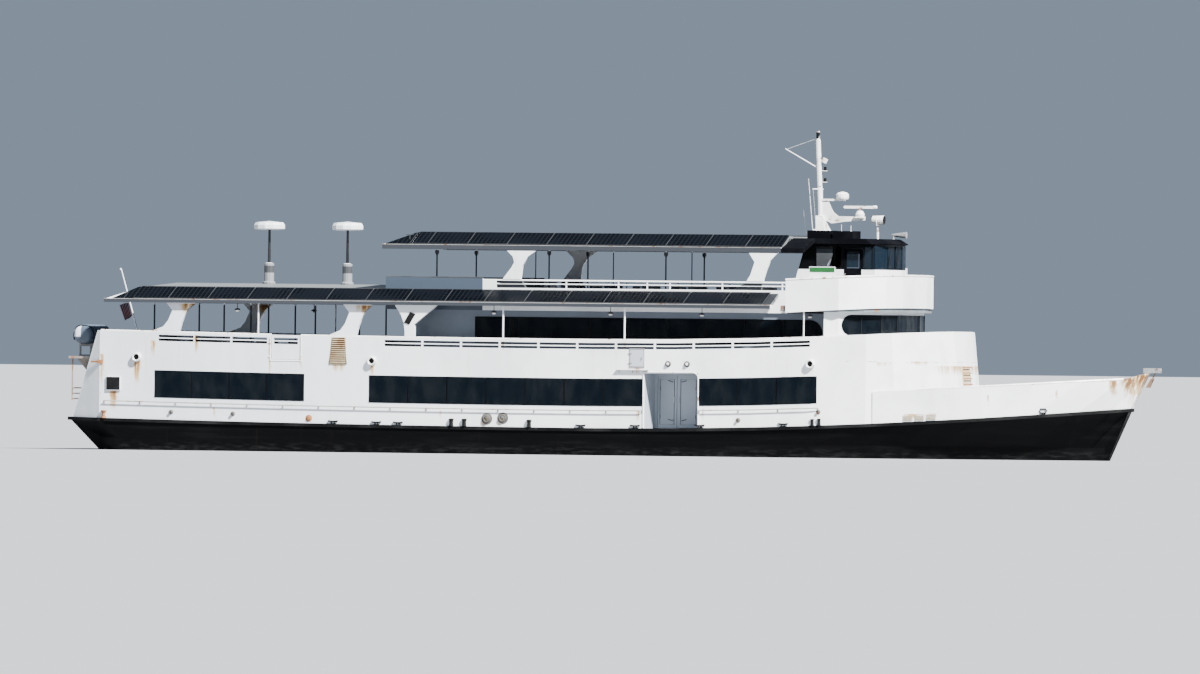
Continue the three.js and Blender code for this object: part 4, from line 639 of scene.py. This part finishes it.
# Grab rail under the windows
grab = Form()
GRAB_OUT, GRAB_RISE = 0.085, 0.66
for x0, x1 in [(-18.1, 1.86), (3.95, 8.3)]:
    grab.tube(along_side(x0, x1, GRAB_OUT, GRAB_RISE), 0.019, 8)
    count = round((x1 - x0) / 1.35)
    for k in range(count + 1):
        x = x0 + (x1 - x0) * k / count
        y, z = -half(x), sheer(x) + GRAB_RISE
        bracket = [(x, y + 0.01, z - 0.05), (x, y - 0.05, z - 0.04), (x, y - GRAB_OUT, z)]
        grab.tube(bracket, 0.013)
        grab.box(x - 0.03, x + 0.03, y - 0.006, y + 0.004, z - 0.1, z)
grab.pair("side_grab_rail", "gutter")

# Caps on the rails: second deck bulwark, top deck, bridge wing and bow bulwark
caps = Form()
BULWARK_TOP = 3.15  # over the deck edge
for x0, x1 in [(-18.25, -11.9), (-10.8, 9.25)]:  # either side of the gate
    caps.tube(along_side(x0, x1, -0.04, BULWARK_TOP), 0.036, 8)
caps.pair("bulwark_rail_cap", "rail")
WING = [(7.1, -4.6), (9.03, -4.52), (9.84, -3.98), (10.29, -2.97), (10.49, -1.51)]
wing_line = [(x, y, 6.27 + (x - 7.1) * 0.055) for x, y in WING]
wing_line += [(x, -y, z) for x, y, z in reversed(wing_line)]
Form().tube(wing_line, 0.04, 8).make("wing_rail_cap", "rail")
board_caps = Form()
board_caps.tube([(-4.35, -3.668, 6.235), (-7.93, -3.668, 6.235), (-7.93, 0, 6.235)], 0.036, 8)
board_caps.pair("top_deck_rail_cap", "frame")


def bow_top(x):
    """Outer edge of the bow bulwark's rail over the deck edge at x."""
    t = max(0.0, (x - 10) / 8.49)
    return Vector((x + 0.66 * t**6, -(half(x) + 0.26 * t), sheer(x) + 1.17 - 0.06 * t))


BOW_STATIONS = [11.75, 12.4, 14, 15.5, 17, 18]
bow_caps = Form()
bow_caps.tube([bow_top(x) + Vector((0, 0.035, 0.012)) for x in BOW_STATIONS], 0.042, 8)
bow_caps.pair("bow_rail_cap", "rail")

# Pale gutter lines over the dark roof edges
gutters = Form()
for fore, aft, y, z, wide in [(6.57, -18.1, -4.735, 5.366, 0.012), (6.63, -8.1, -3.69, 7.393, 0.011)]:
    gutters.tube([(fore, y, z), (aft, y, z), (aft, 0, z)], wide)
gutters.pair("roof_gutters", "gutter")

# Thin dark frames round the rows of solar panels
RUN, RISE = 1.07, 0.44  # the canopies' slope, across and up
LIFT = 0.044  # of the frames off the slope
LOW_EDGE, HIGH_EDGE = (-4.75, 5.35), (-3.7, 7.38)  # y and z of their lower edges
frames = Form()


def on_slope(x, share, edge):
    """A point lifted off a canopy's slope, a share of the way up it."""
    y, z = edge
    return (x, y + RUN * share - LIFT * 0.38, z + RISE * share + LIFT * 0.925)


for x0, x1, first, count, edge in [
    (-17.0, 6.28, FIRST_LOW, 16, LOW_EDGE),
    (-7.0, 6.61, FIRST_HIGH, 9, HIGH_EDGE),
]:
    for share in (0.03, 0.98):
        frames.tube([on_slope(x, share, edge) for x in (x0, x1)], 0.01)
    for k in range(count):
        x = first + PITCH * k
        frames.tube([on_slope(x, 0.03, edge), on_slope(x, 0.98, edge)], 0.007)
frames.pair("solar_frames", "frame", slot="galvanised_steel")

# Dark triangular panels on the roofs' aft hips
hips = Form()
lift = Vector((0, -0.012, 0.03))
for aft, (y, z), inset in [(-18.1, LOW_EDGE, 0.3), (-8.1, HIGH_EDGE, 0.12)]:
    low, high = Vector((aft, y, z)), Vector((aft + RUN, y + RUN, z + RISE))
    along = Vector((aft + RUN, y, z))
    corners = [low.lerp(along, inset), along, high.lerp(along, 0.04), low.lerp(high, 0.9)]
    corners = [c + Vector((-0.01, 0.03, 0)) for c in corners]
    hips.skin([[c + lift * share for c in corners] for share in (0.35, 1.3)])
hips.pair("hip_panels", "hip")

# Frames and mullions of the upper windows
upper_rims = Form()
HOUSE_Y = -3.615
STRIP_AFT, STRIP_FOOT, STRIP_TOP, ROUND = -4.65, 3.96, 4.85, 0.445
arc = [(-math.pi / 2 + math.pi * k / 10) for k in range(11)]
strip_rim = [
    (STRIP_AFT, STRIP_FOOT),
    *[(7.705 + ROUND * math.cos(t), 4.405 + ROUND * math.sin(t)) for t in arc],
    (STRIP_AFT, STRIP_TOP),
]
upper_rims.tube([(x, HOUSE_Y, z) for x, z in strip_rim], 0.016, loop=True)
for k in range(1, 9):
    x = STRIP_AFT + 12.8 * k / 9
    upper_rims.box(x - 0.02, x + 0.02, HOUSE_Y - 0.01, HOUSE_Y + 0.002, STRIP_FOOT, STRIP_TOP)
upper_rims.pair("upper_strip_rims", "rubber")
wrap_rims = Form()
WRAP = [(9.6, -3.65), (10.05, -2.7), (10.25, -1.4)]
for (x, y), across in zip(WRAP, [(-0.6, -0.8), (-0.9, -0.42), (-0.98, -0.2)]):
    foot = Vector((x - across[0] * 0.018, y + across[1] * 0.018, 4.28 + (x - 8.9) * 0.12))
    wrap_rims.tube([foot, foot + Vector((0, 0, 5.055 - foot.z))], 0.017)
wrap_rims.pair("wrap_window_mullions", "rubber")

# Round side fittings, white rings with a dark bore
PORTS = [(-16.89, 3.3), (-8.14, 3.25), (8.03, 3.31)]
RING = [(0.1, 0), (0.17, 0), (0.172, 0.03), (0.155, 0.13), (0.13, 0.155), (0.105, 0.135), (0.1, 0)]
rings, bores = Form(), Form()
for x, z in PORTS:
    face = (x, -half(x) + 0.006, z)
    rings.turned(RING, face, OUT, 24)
    bores.turned([(0, 0.01), (0.1, 0.012), (0.102, 0.05), (0.06, 0.06), (0, 0.062)], face, OUT, 20)
rings.pair("side_port_rings", "rail")
bores.pair("side_port_bores", "rubber")

# Slatted louvre in a trapezoid frame
louvre = Form()
LOUVRE = [(-9.73, 3.13), (-9.1, 3.13), (-9.16, 4.06), (-9.62, 4.06)]
louvre.tube([(x, -4.612, z) for x, z in LOUVRE], 0.024, loop=True)
for k in range(12):
    z = 3.18 + 0.073 * k
    share = (z - 3.13) / 0.93
    x0, x1 = -9.72 + 0.1 * share, -9.11 - 0.06 * share
    slat = [(-4.607, z + 0.04), (-4.64, z), (-4.632, z - 0.006), (-4.605, z + 0.03)]
    louvre.skin([[(x, y, h) for y, h in slat] for x in (x0, x1)])
louvre.pair("side_louvre", "tan")
louvre_back = Form().skin([[(x, y, z) for x, z in LOUVRE] for y in (-4.606, -4.6)])
louvre_back.pair("side_louvre_back", "rubber")

# Gate outline, hinge bosses and the frame round it
gate_trim = Form()
for x in (-11.93, -10.79):
    gate_trim.tube([(x, -4.606, 3.22), (x, -4.606, 4.06)], 0.014)
gate_trim.tube([(-11.93, -4.606, 3.22), (-10.79, -4.606, 3.22)], 0.014)
for z in (3.36, 3.85):
    gate_trim.tube([(-11.99, -4.612, z), (-11.92, -4.612, z)], 0.02, 8)
gate_trim.pair("gate_surround", "rail")

# Boarding recess: drip strip round its head, ledge, hatch and lamps beside it
recess = Form()
turn = [math.pi / 2 * (1 - k / 5) for k in range(6)]
corner = [(3.72 + 0.2 * math.cos(t), 2.76 + 0.2 * math.sin(t)) for t in turn]
recess.tube([(1.86, -4.618, 2.96), *[(x, -4.618, z) for x, z in corner], (3.93, -4.618, 1.0)], 0.022, 8)
recess.tube([(1.895, -4.614, 2.94), (1.895, -4.614, 1.0)], 0.016, 8)
ledge = Form().box(0.9, 2.09, -4.7, -4.596, 3.01, 3.035)
for x in (1.0, 1.5, 2.0):
    gusset = [(-4.6, 2.93), (-4.6, 3.01), (-4.68, 3.01)]
    ledge.skin([[(x + dx, y, z) for y, z in gusset] for dx in (-0.01, 0.01)])
recess.pair("boarding_drip_strip", "rail")
ledge.pair("side_ledge", "gutter")
hatch, hatch_edge = Form().box(1.41, 1.89, -4.618, -4.598, 3.16, 3.75), Form()
HATCH = [(1.38, 3.13), (1.92, 3.13), (1.92, 3.78), (1.38, 3.78)]
hatch_edge.tube([(x, -4.614, z) for x, z in HATCH], 0.015, loop=True)
for z in (3.28, 3.62):
    hatch_edge.tube([(1.35, -4.626, z), (1.47, -4.626, z)], 0.018)
hatch_edge.tube([(1.84, -4.64, 3.4), (1.84, -4.64, 3.5)], 0.012)
# The hatch takes the doors' paint, with its painted shade.
hatch.pair("side_hatch", "door", bevel=0.004)
hatch_edge.pair("side_hatch_edge", "gutter")


lamp_bodies, lenses = Form(), Form()


def bulkhead_lamp(*at):
    """A small round lamp on a plate, facing starboard."""
    lamp_bodies.turned([(0, 0), (0.11, 0), (0.11, 0.02), (0.08, 0.06), (0, 0.062)], at, OUT, 16)
    lens = [(0, 0.05), (0.055, 0.055), (0.048, 0.09), (0.02, 0.105), (0, 0.106)]
    lenses.turned(lens, at, OUT, 12)


def hanging_lamp(x, y, z, rod):
    """A shaded lamp under a canopy, on a rod."""
    lamp_bodies.tube([(x, y, rod), (x, y, z - 0.02)], 0.014)
    lamp_bodies.turned([(0, 0), (0.09, -0.03), (0.11, -0.08), (0, -0.085)], (x, y, z), UP, 12)
    lenses.turned([(0, -0.08), (0.08, -0.085), (0.06, -0.13), (0, -0.14)], (x, y, z), UP, 12)


for x in (2.8, 3.5):
    bulkhead_lamp(x, -4.598, 3.255)
for x in (0.63, 4.0, -3.68, -13.2):
    hanging_lamp(x, -4.5, 5.08, 5.32)
hanging_lamp(7.93, -4.35, 5.06, 5.16)
lamp_bodies.pair("deck_lamps", "frame", slot="galvanised_steel")
lenses.pair("deck_lamp_lenses", "lamp")

# Posts outside the solids' own: one under the canopy and one under the bridge wing
posts = Form()
for x, y, top in [(-12.4, -4.55, 5.3), (7.75, -4.5, 5.155)]:
    low = sheer(x) + BULWARK_TOP
    posts.tube([(x, y, low), (x, y, top)], 0.026, 8)
    posts.turned([(0, 0), (0.06, 0), (0.06, 0.012), (0.03, 0.03), (0, 0.031)], (x, y, low), UP, 10)
posts.pair("thin_rail_posts", "rail")

# Deck-edge fittings: cleats, bollards, outlets, rollers
cleats, bollards, outlets, rollers = Form(), Form(), Form(), Form()
for x in (-9.57, -7.96, -7.16, -0.4, 1.61, 3.99, 7.05):
    y, z = -half(x) - 0.028, sheer(x) + 0.045
    cleats.box(x - 0.1, x + 0.1, y - 0.026, y + 0.026, z - 0.003, z + 0.014)
    for dx in (-0.05, 0.05):
        cleats.tube([(x + dx, y, z), (x + dx, y, z + 0.08)], 0.022)
    horns = [(-0.18, 0.1), (-0.07, 0.085), (0.07, 0.085), (0.18, 0.1)]
    cleats.tube([(x + dx, y, z + dz) for dx, dz in horns], 0.026, 8)
BOLLARD = [(0, 0), (0.085, 0), (0.075, 0.03), (0.07, 0.2), (0.095, 0.22), (0.09, 0.26), (0, 0.27)]
for x in (-5.18, -4.7, -2.3):
    y, z = -half(x) - 0.03, sheer(x) + 0.045
    bollards.turned(BOLLARD, (x, y, z), UP, 14)
OUTLETS = [(-13.3, 1.32), (-3.87, 1.25), (-3.28, 1.28), (8.32, 1.62), (-15.6, 1.36), (5.4, 1.3)]
ring = [(0.035, 0), (0.085, 0), (0.085, 0.018), (0.055, 0.03), (0.05, 0.09), (0.036, 0.09), (0.035, 0)]
for x, z in OUTLETS:
    wide = 2.4 if -4 < x < -3 else 1.0  # the two big ones amidships
    outlets.turned([(r * wide, h) for r, h in ring], (x, -half(x) + 0.005, z), OUT, 18)
for x in (8.12, 8.36):
    foot = (x, -half(x) - 0.03, sheer(x) + 0.045)
    roller = [(0, 0), (0.08, 0), (0.06, 0.03), (0.055, 0.2), (0.08, 0.23), (0, 0.24)]
    rollers.turned(roller, foot, UP, 14)
cleats.pair("edge_cleats", "rubber")
bollards.pair("edge_bollards", "rubber")
outlets.pair("side_outlets", "dull")
rollers.pair("edge_rollers", "rubber")
boss = [(0, 0), (0.12, 0), (0.12, 0.015), (0.075, 0.03), (0.07, 0.05), (0.03, 0.06), (0, 0.06)]
rusty_boss = Form().turned(boss, (-10.47, -4.598, 1.2), OUT, 18)
rusty_boss.pair("side_rusty_boss", "orange")

# Stern corner: square fitting in its frame, bracket bar and deck-corner fitting
stern_box, stern_face = Form(), Form()
stern_box.box(-18.02, -17.48, -4.66, -4.596, 2.1, 2.6)
stern_face.box(-18.0, -17.51, -4.668, -4.655, 2.13, 2.585)
for k in range(1, 4):
    stern_face.box(-18.0 + 0.1225 * k - 0.006, -18.0 + 0.1225 * k + 0.006, -4.674, -4.66, 2.13, 2.585)
stern_box.pair("stern_corner_box", "clean", bevel=0.01)
stern_face.pair("stern_corner_grille", "rubber")
stern_bits = Form()
stern_bits.tube([(-18.62, -4.5, 3.12), (-18.32, -4.62, 3.12), (-18.2, -4.62, 3.12)], 0.03, 8)
stern_bits.box(-18.36, -18.16, -4.64, -4.598, 3.05, 3.19)
knob = [(0, 0), (0.09, 0), (0.085, 0.05), (0.06, 0.07), (0.06, 0.2), (0.1, 0.23), (0.1, 0.27), (0, 0.28)]
stern_bits.turned(knob, (-18.1, -4.64, sheer(-18.1) + 0.04), UP, 14)
stern_bits.pair("stern_corner_fittings", "orange")

# Stern windows
stern_glass = Form()
for y in (-2.9, -0.9, 1.1):
    y0, y1 = y - 0.02, y + 1.82
    stern_glass.skin([
        [(-19.225 + d, y0, 2.0), (-19.225 + d, y1, 2.0), (-18.97 + d, y1, 2.86), (-18.97 + d, y0, 2.86)]
        for d in (0.045, 0.055)
    ])
stern_glass.make("stern_window_glass", "glass")

# Ladder on the house front, vent grilles and chocks on the bow bulwark
ladder = Form()
for k in range(5):
    z = 2.45 + 0.2 * k
    x = 12.375 - 0.1 * (z - 1.33 - 2.13)
    rung = [(-0.02, -0.42), (0.08, -0.42), (0.08, 0.42), (-0.02, 0.42)]
    ladder.tube([(x + dx, y, z) for dx, y in rung], 0.018)
ladder.make("front_ladder_rungs", "orange")
grilles = Form()
for x in (11.35, 11.75, 12.15):
    ends = [Vector((end, -half(end) - 0.05, 0)) for end in (x, x + 0.32)]
    for k in range(5):
        z = sheer(x) + 0.1 + 0.045 * k
        bar = [Vector((0, dy, z + dz)) for dy, dz in [(0, 0), (0, 0.022), (-0.012, 0.022), (-0.012, 0)]]
        grilles.skin([[end + corner for corner in bar] for end in ends])
grilles.pair("bow_vent_grilles", "tan", slot="rusted_steel")
chocks = Form()
p, q = (Vector((x, -half(x) - 0.075, sheer(15.95) + 0.16)) for x in (15.87, 16.03))
up, past = Vector((0, -0.02, 0.07)), (q - p) * 0.2
chocks.tube([p - up, q - up, q + past, q + up, p + up, p - past], 0.026, 8, loop=True)
chocks.pair("bow_chocks", "rubber", slot="galvanised_steel")

# Top deck: lamp boxes on the inner posts and a short aerial
lamp_boxes = Form()
for x in (-6.48, -2.32, 2.0):
    lamp_boxes.box(x - 0.06, x + 0.06, -2.41, -2.29, 7.08, 7.2)
    lamp_boxes.box(x - 0.035, x + 0.035, -2.39, -2.31, 7.03, 7.09)
lamp_boxes.pair("post_lamp_boxes", "frame", slot="galvanised_steel", bevel=0.01)
aerial = Form()
aerial.tube([(-7.2, -3.3, 7.52), (-7.2, -3.3, 7.74)], 0.012)
aerial.tube([(-7.34, -3.3, 7.74), (-7.06, -3.3, 7.74)], 0.014)
aerial.make("roof_aerial", "frame", slot="galvanised_steel")

# Bridge: side screens, window frames, wipers, roof edge and roof gear
screens = Form()
for side in (-1, 1):
    y = side * 4.5
    screens.box(7.93, 8.88, y - 0.012, y + 0.012, 6.3, 6.74)
    for x in (8.0, 8.8):
        screens.tube([(x, y - side * 0.03, 6.1), (x, y - side * 0.03, 6.7)], 0.014)
screens.make("wing_side_screens", "clean", bevel=0.004)
Form().box(7.95, 8.86, -4.52, -4.51, 6.55, 6.72).make("side_screen_green", "green")
Form().box(7.95, 8.86, 4.51, 4.52, 6.55, 6.72).make("side_screen_red", "red")
cab_rims = Form()
for x0, x1 in [(7.4, 8.32), (9.18, 9.5)]:
    rim = [(x0, 6.71), (x1, 6.71), (x1, 7.47), (x0, 7.47)]
    cab_rims.tube([(x, -1.905, z) for x, z in rim], 0.016, loop=True)
for y0, y1 in [(-0.89, -0.04), (0.04, 0.89)]:
    rim = [(y0, 6.71), (y1, 6.71), (y1, 7.47), (y0, 7.47)]
    cab_rims.tube([(9.748, y, z) for y, z in rim], 0.016, loop=True)
cab_rims.pair("cab_window_rims", "rubber")
wipers = Form()
for y in (-0.5, 0.5):
    wipers.tube([(9.77, y, 7.42), (9.775, y - 0.28, 6.95)], 0.01)
    wipers.box(9.755, 9.77, y - 0.3, y - 0.26, 6.8, 7.1)
wipers.make("cab_wipers", "rubber")
edge = [(6.66, -2.215), (9.5, -2.215), (9.875, -1.15)]
edge = [(x, y, 7.57) for x, y in edge] + [(x, -y, 7.57) for x, y in reversed(edge)]
Form().tube(edge, 0.02).make("bridge_roof_edge", "black")
lens = [(0, 0), (0.15, 0), (0.155, 0.02), (0.13, 0.035), (0, 0.04)]
light_face = Form().turned(lens, (9.405, -0.3, 8.42), (1, 0, -0.05), 20)
light_face.make("searchlight_lens", "rubber", slot="tinted_glass")
yoke = [(-0.5, 8.43), (-0.5, 8.25), (-0.3, 8.2), (-0.1, 8.25), (-0.1, 8.43)]
Form().tube([(9.19, y, z) for y, z in yoke], 0.016).make("searchlight_yoke", "rail")
whips = Form()
for x, y, foot, top in [(7.85, -0.3, 7.7, 8.25), (8.2, -0.3, 7.7, 8.22)]:
    whips.tube([(x, y, foot), (x, y, top)], 0.014, end=0.008)
ball = [(0, 0), (0.035, 0.01), (0.045, 0.05), (0.03, 0.09), (0, 0.1)]
whips.turned(ball, (8.2, -0.3, 7.94), UP, 12)
whips.make("roof_aerials", "rail")

# Mast gear: lamps on brackets, top light and halyards
mast_gear, mast_lamps = Form(), Form()
for z in (9.75, 10.15):
    mast_gear.tube([(6.92, 0, z), (7.14, 0, z)], 0.015)
    mast_gear.box(7.08, 7.2, -0.06, 0.06, z - 0.01, z + 0.01)
    lamp = [(0, 0), (0.05, 0), (0.055, 0.02), (0.045, 0.1), (0.055, 0.12), (0, 0.14)]
    mast_lamps.turned(lamp, (7.14, 0, z + 0.01), UP, 14)
mast_gear.tube([(6.88, -0.62, 9.5), (6.88, 0.62, 9.5)], 0.022, 8)
for y in (-0.6, 0.6):
    mast_gear.tube([(6.88, y, 9.5), (6.95, y * 0.55, 7.8)], 0.004, 5)
mast_gear.tube([(5.7, 0, 10.9), (6.86, 0, 11.3)], 0.005, 5)
mast_gear.tube([(6.78, 0.1, 11.0), (6.78, 0.1, 11.5)], 0.008)
top_lamp = [(0, 0), (0.062, 0), (0.064, 0.22), (0.03, 0.25), (0, 0.251)]
mast_lamps.turned(top_lamp, (6.862, 0, 11.29), UP, 14)
mast_gear.make("mast_brackets", "rail")
mast_lamps.make("mast_lamps", "rubber")

# Painted shadow: a dark plate on the knee pillar where a shadow falls
KNEE = [(-6.98, 4.62), (-6.78, 4.55), (-6.55, 4.93), (-6.76, 5.0)]
knee = Form().skin([[(x, y, z) for x, z in KNEE] for y in (-4.612, -4.588)])
knee.pair("knee_lamp", "rubber")

# Foredeck: windlass, bollards and hatch behind the bulwark
windlass, foredeck = Form(), Form()
DECK_BOW = sheer(16.0)
windlass.box(15.8, 16.5, -0.42, 0.42, DECK_BOW - 0.005, DECK_BOW + 0.12)
drum = [(0.13, 0.18), (0.2, 0.22), (0.2, 0.3), (0.11, 0.34), (0.12, 0.52), (0.19, 0.58)]
drum += [(0.16, 0.62), (0, 0.62)]
drum = [(r, -h) for r, h in reversed(drum)] + drum
windlass.turned(drum, (16.15, 0, DECK_BOW + 0.36), (0, 1, 0), 20)
windlass.box(15.98, 16.32, -0.14, 0.14, DECK_BOW + 0.1, DECK_BOW + 0.52)
windlass.make("windlass", "grey", bevel=0.012)
for x, y in [(14.2, 1.5), (16.9, 0.75)]:
    z = sheer(x) - 0.03
    foredeck.box(x - 0.3, x + 0.3, -y - 0.11, -y + 0.11, z, z + 0.05)
    for dx in (-0.17, 0.17):
        post = [(0, 0), (0.085, 0), (0.08, 0.28), (0.105, 0.3), (0.1, 0.34), (0, 0.35)]
        foredeck.turned(post, (x + dx, -y, z + 0.04), UP, 16)
foredeck.both()
foredeck.box(13.2, 14.0, -0.4, 0.4, sheer(13.6) - 0.02, sheer(13.6) + 0.28)
foredeck.box(13.16, 14.04, -0.44, 0.44, sheer(13.6) + 0.28, sheer(13.6) + 0.33)
foredeck.make("foredeck_gear", "rubber", bevel=0.01)

# Door fittings that move with their leaves

def on_leaf(form, side, name, look, body):
    """Makes a piece of a starboard door, or mirrors it for the port side."""
    form.verts = [(x, y * side, z) for x, y, z in form.verts]
    form.make(name, look, body=body)


for side, tag in ((1, "starboard"), (-1, "port")):

    for name, seam, hinge, way in [("aft", 2.72, 2.06, -1), ("fore", 2.8, 3.51, 1)]:
        trim = Form()
        x0, x1 = sorted((seam + way * 0.08, hinge - way * 0.06))
        rim = [(x0, 1.12), (x1, 1.12), (x1, 2.72), (x0, 2.72)]
        trim.tube([(x, -3.279, z) for x, z in rim], 0.009, loop=True)
        for z in (1.25, 2.62):
            lever = (seam + way * 0.12, -3.292, z), (seam + way * 0.3, -3.292, z + 0.05)
            trim.tube(lever, 0.013)
        for z in (1.4, 2.4):
            at = hinge - way * 0.065  # on the leaf, clear of the recess when open
            trim.tube([(at, -3.281, z - 0.06), (at, -3.281, z + 0.06)], 0.014, 8)
        on_leaf(trim, side, f"boarding_door_{name}_trim_{tag}", "frame", f"boarding_door_{name}_{tag}")
    body = f"pilothouse_door_{tag}"
    pane = Form().box(8.53, 8.97, -1.893, -1.883, 6.73, 7.27)
    on_leaf(pane, side, f"pilothouse_door_pane_{tag}", "pane", body)
    grip = [(-1.9, 6.3), (-1.955, 6.31), (-1.955, 6.5), (-1.9, 6.51)]
    handle = Form().tube([(8.475, y, z) for y, z in grip], 0.011)
    on_leaf(handle, side, f"pilothouse_door_handle_{tag}", "rail", body)
aft_pane = Form().box(-6.72, -6.71, -0.2, 0.2, 4.36, 4.76)
aft_pane.make("saloon_aft_door_pane", "pane", body="saloon_aft_door", slot="tinted_glass")

# The scanner's end cap turns with it
end_cap = [(0, -0.02), (0.055, -0.02), (0.062, 0), (0.062, 0.09), (0.05, 0.12), (0, 0.125)]
scan = Form().turned(end_cap, (8.94, 0, 8.873), (1, 0, 0), 14)
scan.make("scanner_end_cap", "rail", body="radar_scanner")

# Raft on its cradle: a shell, and a cloth cover lashed round it with webbing
RAFT_X, RAFT_Z = -19.16, 4.065
RAFT_W, RAFT_H = 0.36, 0.335
SQUARE = 2.6  # 2 would make its section round


def raft_ring(y, share=1.0, grow=0.0, start=0.0, stop=FULL_TURN, count=28):
    """A rounded-square section of the raft, from one angle to another, started at its foot."""
    points = []
    for k in range(count + 1):
        t = start + (stop - start) * k / count - math.pi / 2
        c, s = math.cos(t), math.sin(t)
        soft = (abs(c) ** SQUARE + abs(s) ** SQUARE) ** (-1 / SQUARE)
        x = RAFT_X + (RAFT_W * share + grow) * c * soft
        points.append((x, y, RAFT_Z + (RAFT_H * share + grow) * s * soft))
    return points


shell = Form()
profile = [(-3.9, 0.5), (-3.885, 0.72), (-3.84, 0.88), (-3.76, 0.965), (-3.6, 0.985), (-2.0, 0.985),
           (-1.84, 0.965), (-1.76, 0.88), (-1.715, 0.72), (-1.7, 0.5)]
shell.skin([raft_ring(y, share)[:-1] for y, share in profile])
shell.make("raft_shell", "raft")
cradle = Form()
SADDLE = [(-19.42, 3.66), (-18.9, 3.66), (-18.9, 3.78), (-19.02, 3.735), (-19.3, 3.735), (-19.42, 3.78)]
for y in (-3.4, -2.2):
    cradle.box(-19.42, -18.9, y - 0.05, y + 0.05, 3.31, 3.37)
    for x in (-19.42, -18.95):
        cradle.box(x, x + 0.05, y - 0.04, y + 0.04, 3.31, 3.74)
    cradle.skin([[(x, y + dy, z) for x, z in SADDLE] for dy in (-0.045, 0.045)])
cradle.make("raft_cradle", "grey")
COVER_FROM, COVER_TO = 0.34 * math.pi, 1.66 * math.pi
STRAPS = (-3.45, -2.8, -2.15)
COVER_LONG, COVER_ROWS, COVER_COLUMNS = 1.88, 56, 44
cover = Form()
for j in range(COVER_ROWS + 1):
    y = -3.74 + COVER_LONG * j / COVER_ROWS
    pinch = sum(math.exp(-(((y - strap) / 0.055) ** 2)) for strap in STRAPS)
    ring = raft_ring(y, 1.0, 0.012, COVER_FROM, COVER_TO, COVER_COLUMNS)
    for k, (px, py, pz) in enumerate(ring):
        angle = k / COVER_COLUMNS
        ripple = 0.006 * math.sin(31 * y + 5 * angle) + 0.005 * math.sin(17 * angle + 9 * y)
        lift = (0.014 + ripple) * (1 - pinch * 0.8)
        out = Vector((px - RAFT_X, 0, pz - RAFT_Z)).normalized()
        cover.verts.append(tuple(Vector((px, py, pz)) + out * lift))
cover.faces = grid(COVER_ROWS, COVER_COLUMNS)
cover_piece = cover.make("raft_cover", "cover", sharp=80)


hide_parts("covered_raft")
straps = Form()
for y in STRAPS:
    section = [(-0.025, 0.014), (-0.025, 0.019), (0.025, 0.019), (0.025, 0.014)]
    rings = [
        raft_ring(y + dy, 1.0, grow, 0.2 * math.pi, 1.8 * math.pi, 40) for dy, grow in section
    ]
    straps.skin([list(places) for places in zip(*rings)])
straps.make("raft_straps", "strap")

# Ensign, furled about the flagstaff in close pleats
STAFF_FOOT, STAFF_HEAD = Vector((-18.375, 0, 4.18)), Vector((-19.015, 0, 6.4))
staff_way = (STAFF_HEAD - STAFF_FOOT).normalized()
ensign = Form()
HOIST, SPAN, PLEATS, ENSIGN_ROWS, ENSIGN_COLUMNS = 0.46, 0.36, 6, 14, 96
for j in range(ENSIGN_ROWS + 1):
    share = j / ENSIGN_ROWS
    root = STAFF_FOOT + staff_way * (0.62 + HOIST * share)
    for k in range(ENSIGN_COLUMNS + 1):
        t = k / ENSIGN_COLUMNS
        droop = -0.16 * t * (1.3 - share) - 0.02 * math.sin(5 * t + 3 * share)
        fold = 0.032 * math.sin(FULL_TURN * PLEATS * t + 0.8 * share) * (0.5 + 0.5 * min(1, 6 * t))
        back = -0.03 - SPAN * t * (0.75 + 0.25 * share)
        ensign.verts.append(tuple(root + Vector((back, fold, droop))))
ensign.faces = grid(ENSIGN_ROWS, ENSIGN_COLUMNS)
ensign_piece = ensign.make("ensign", "ensign", sharp=120)
truck = [(0, 0), (0.03, 0.01), (0.038, 0.04), (0.025, 0.07), (0, 0.08)]
staff_cap = Form().turned(truck, (-19.012, 0, 6.385), (-0.28, 0, 0.96), 14)
for along in (0.55, 1.15):
    ring = [(0.02, -0.02), (0.034, -0.02), (0.034, 0.02), (0.02, 0.02), (0.02, -0.02)]
    staff_cap.turned(ring, STAFF_FOOT + staff_way * along, staff_way, 12)
staff_cap.make("flagstaff_fittings", "rail")

# Floor at the waterline, pale sky and soft light
floor_mesh = bpy.data.meshes.new("floor")
floor_corners = [(x * 4000, y * 4000, 0) for x, y in [(-1, -1), (1, -1), (1, 1), (-1, 1)]]
floor_mesh.from_pydata(floor_corners, [], [(0, 1, 2, 3)])
floor = place("floor", floor_mesh)
floor_look = Look("floor_pale", rough=0.85)
floor_tone = floor_look.mix(floor_look.noise(0.05, 2), (0.25, 0.26, 0.275), (0.265, 0.275, 0.29))
floor_look.put("Base Color", floor_tone)
floor_mesh.materials.append(floor_look.material)

world = bpy.data.worlds.new("studio")
world.use_nodes = True
backdrop = world.node_tree.nodes["Background"]
backdrop.inputs[0].default_value = (0.52, 0.66, 0.86, 1)
backdrop.inputs[1].default_value = 0.44
bpy.context.scene.world = world


def sun(name, towards, strength, angle, color):
    data = bpy.data.lights.new(name, "SUN")
    data.energy, data.angle, data.color = strength, math.radians(angle), color
    made = place(name, data)
    made.rotation_mode = "QUATERNION"
    made.rotation_quaternion = Vector(towards).to_track_quat("Z", "Y")


sun("key", (0.62, -0.41, 0.72), 23.0, 4, (1.0, 0.98, 0.955))
sun("fill", (-0.5, -0.8, 0.35), 0.5, 40, (0.8, 0.88, 1.0))
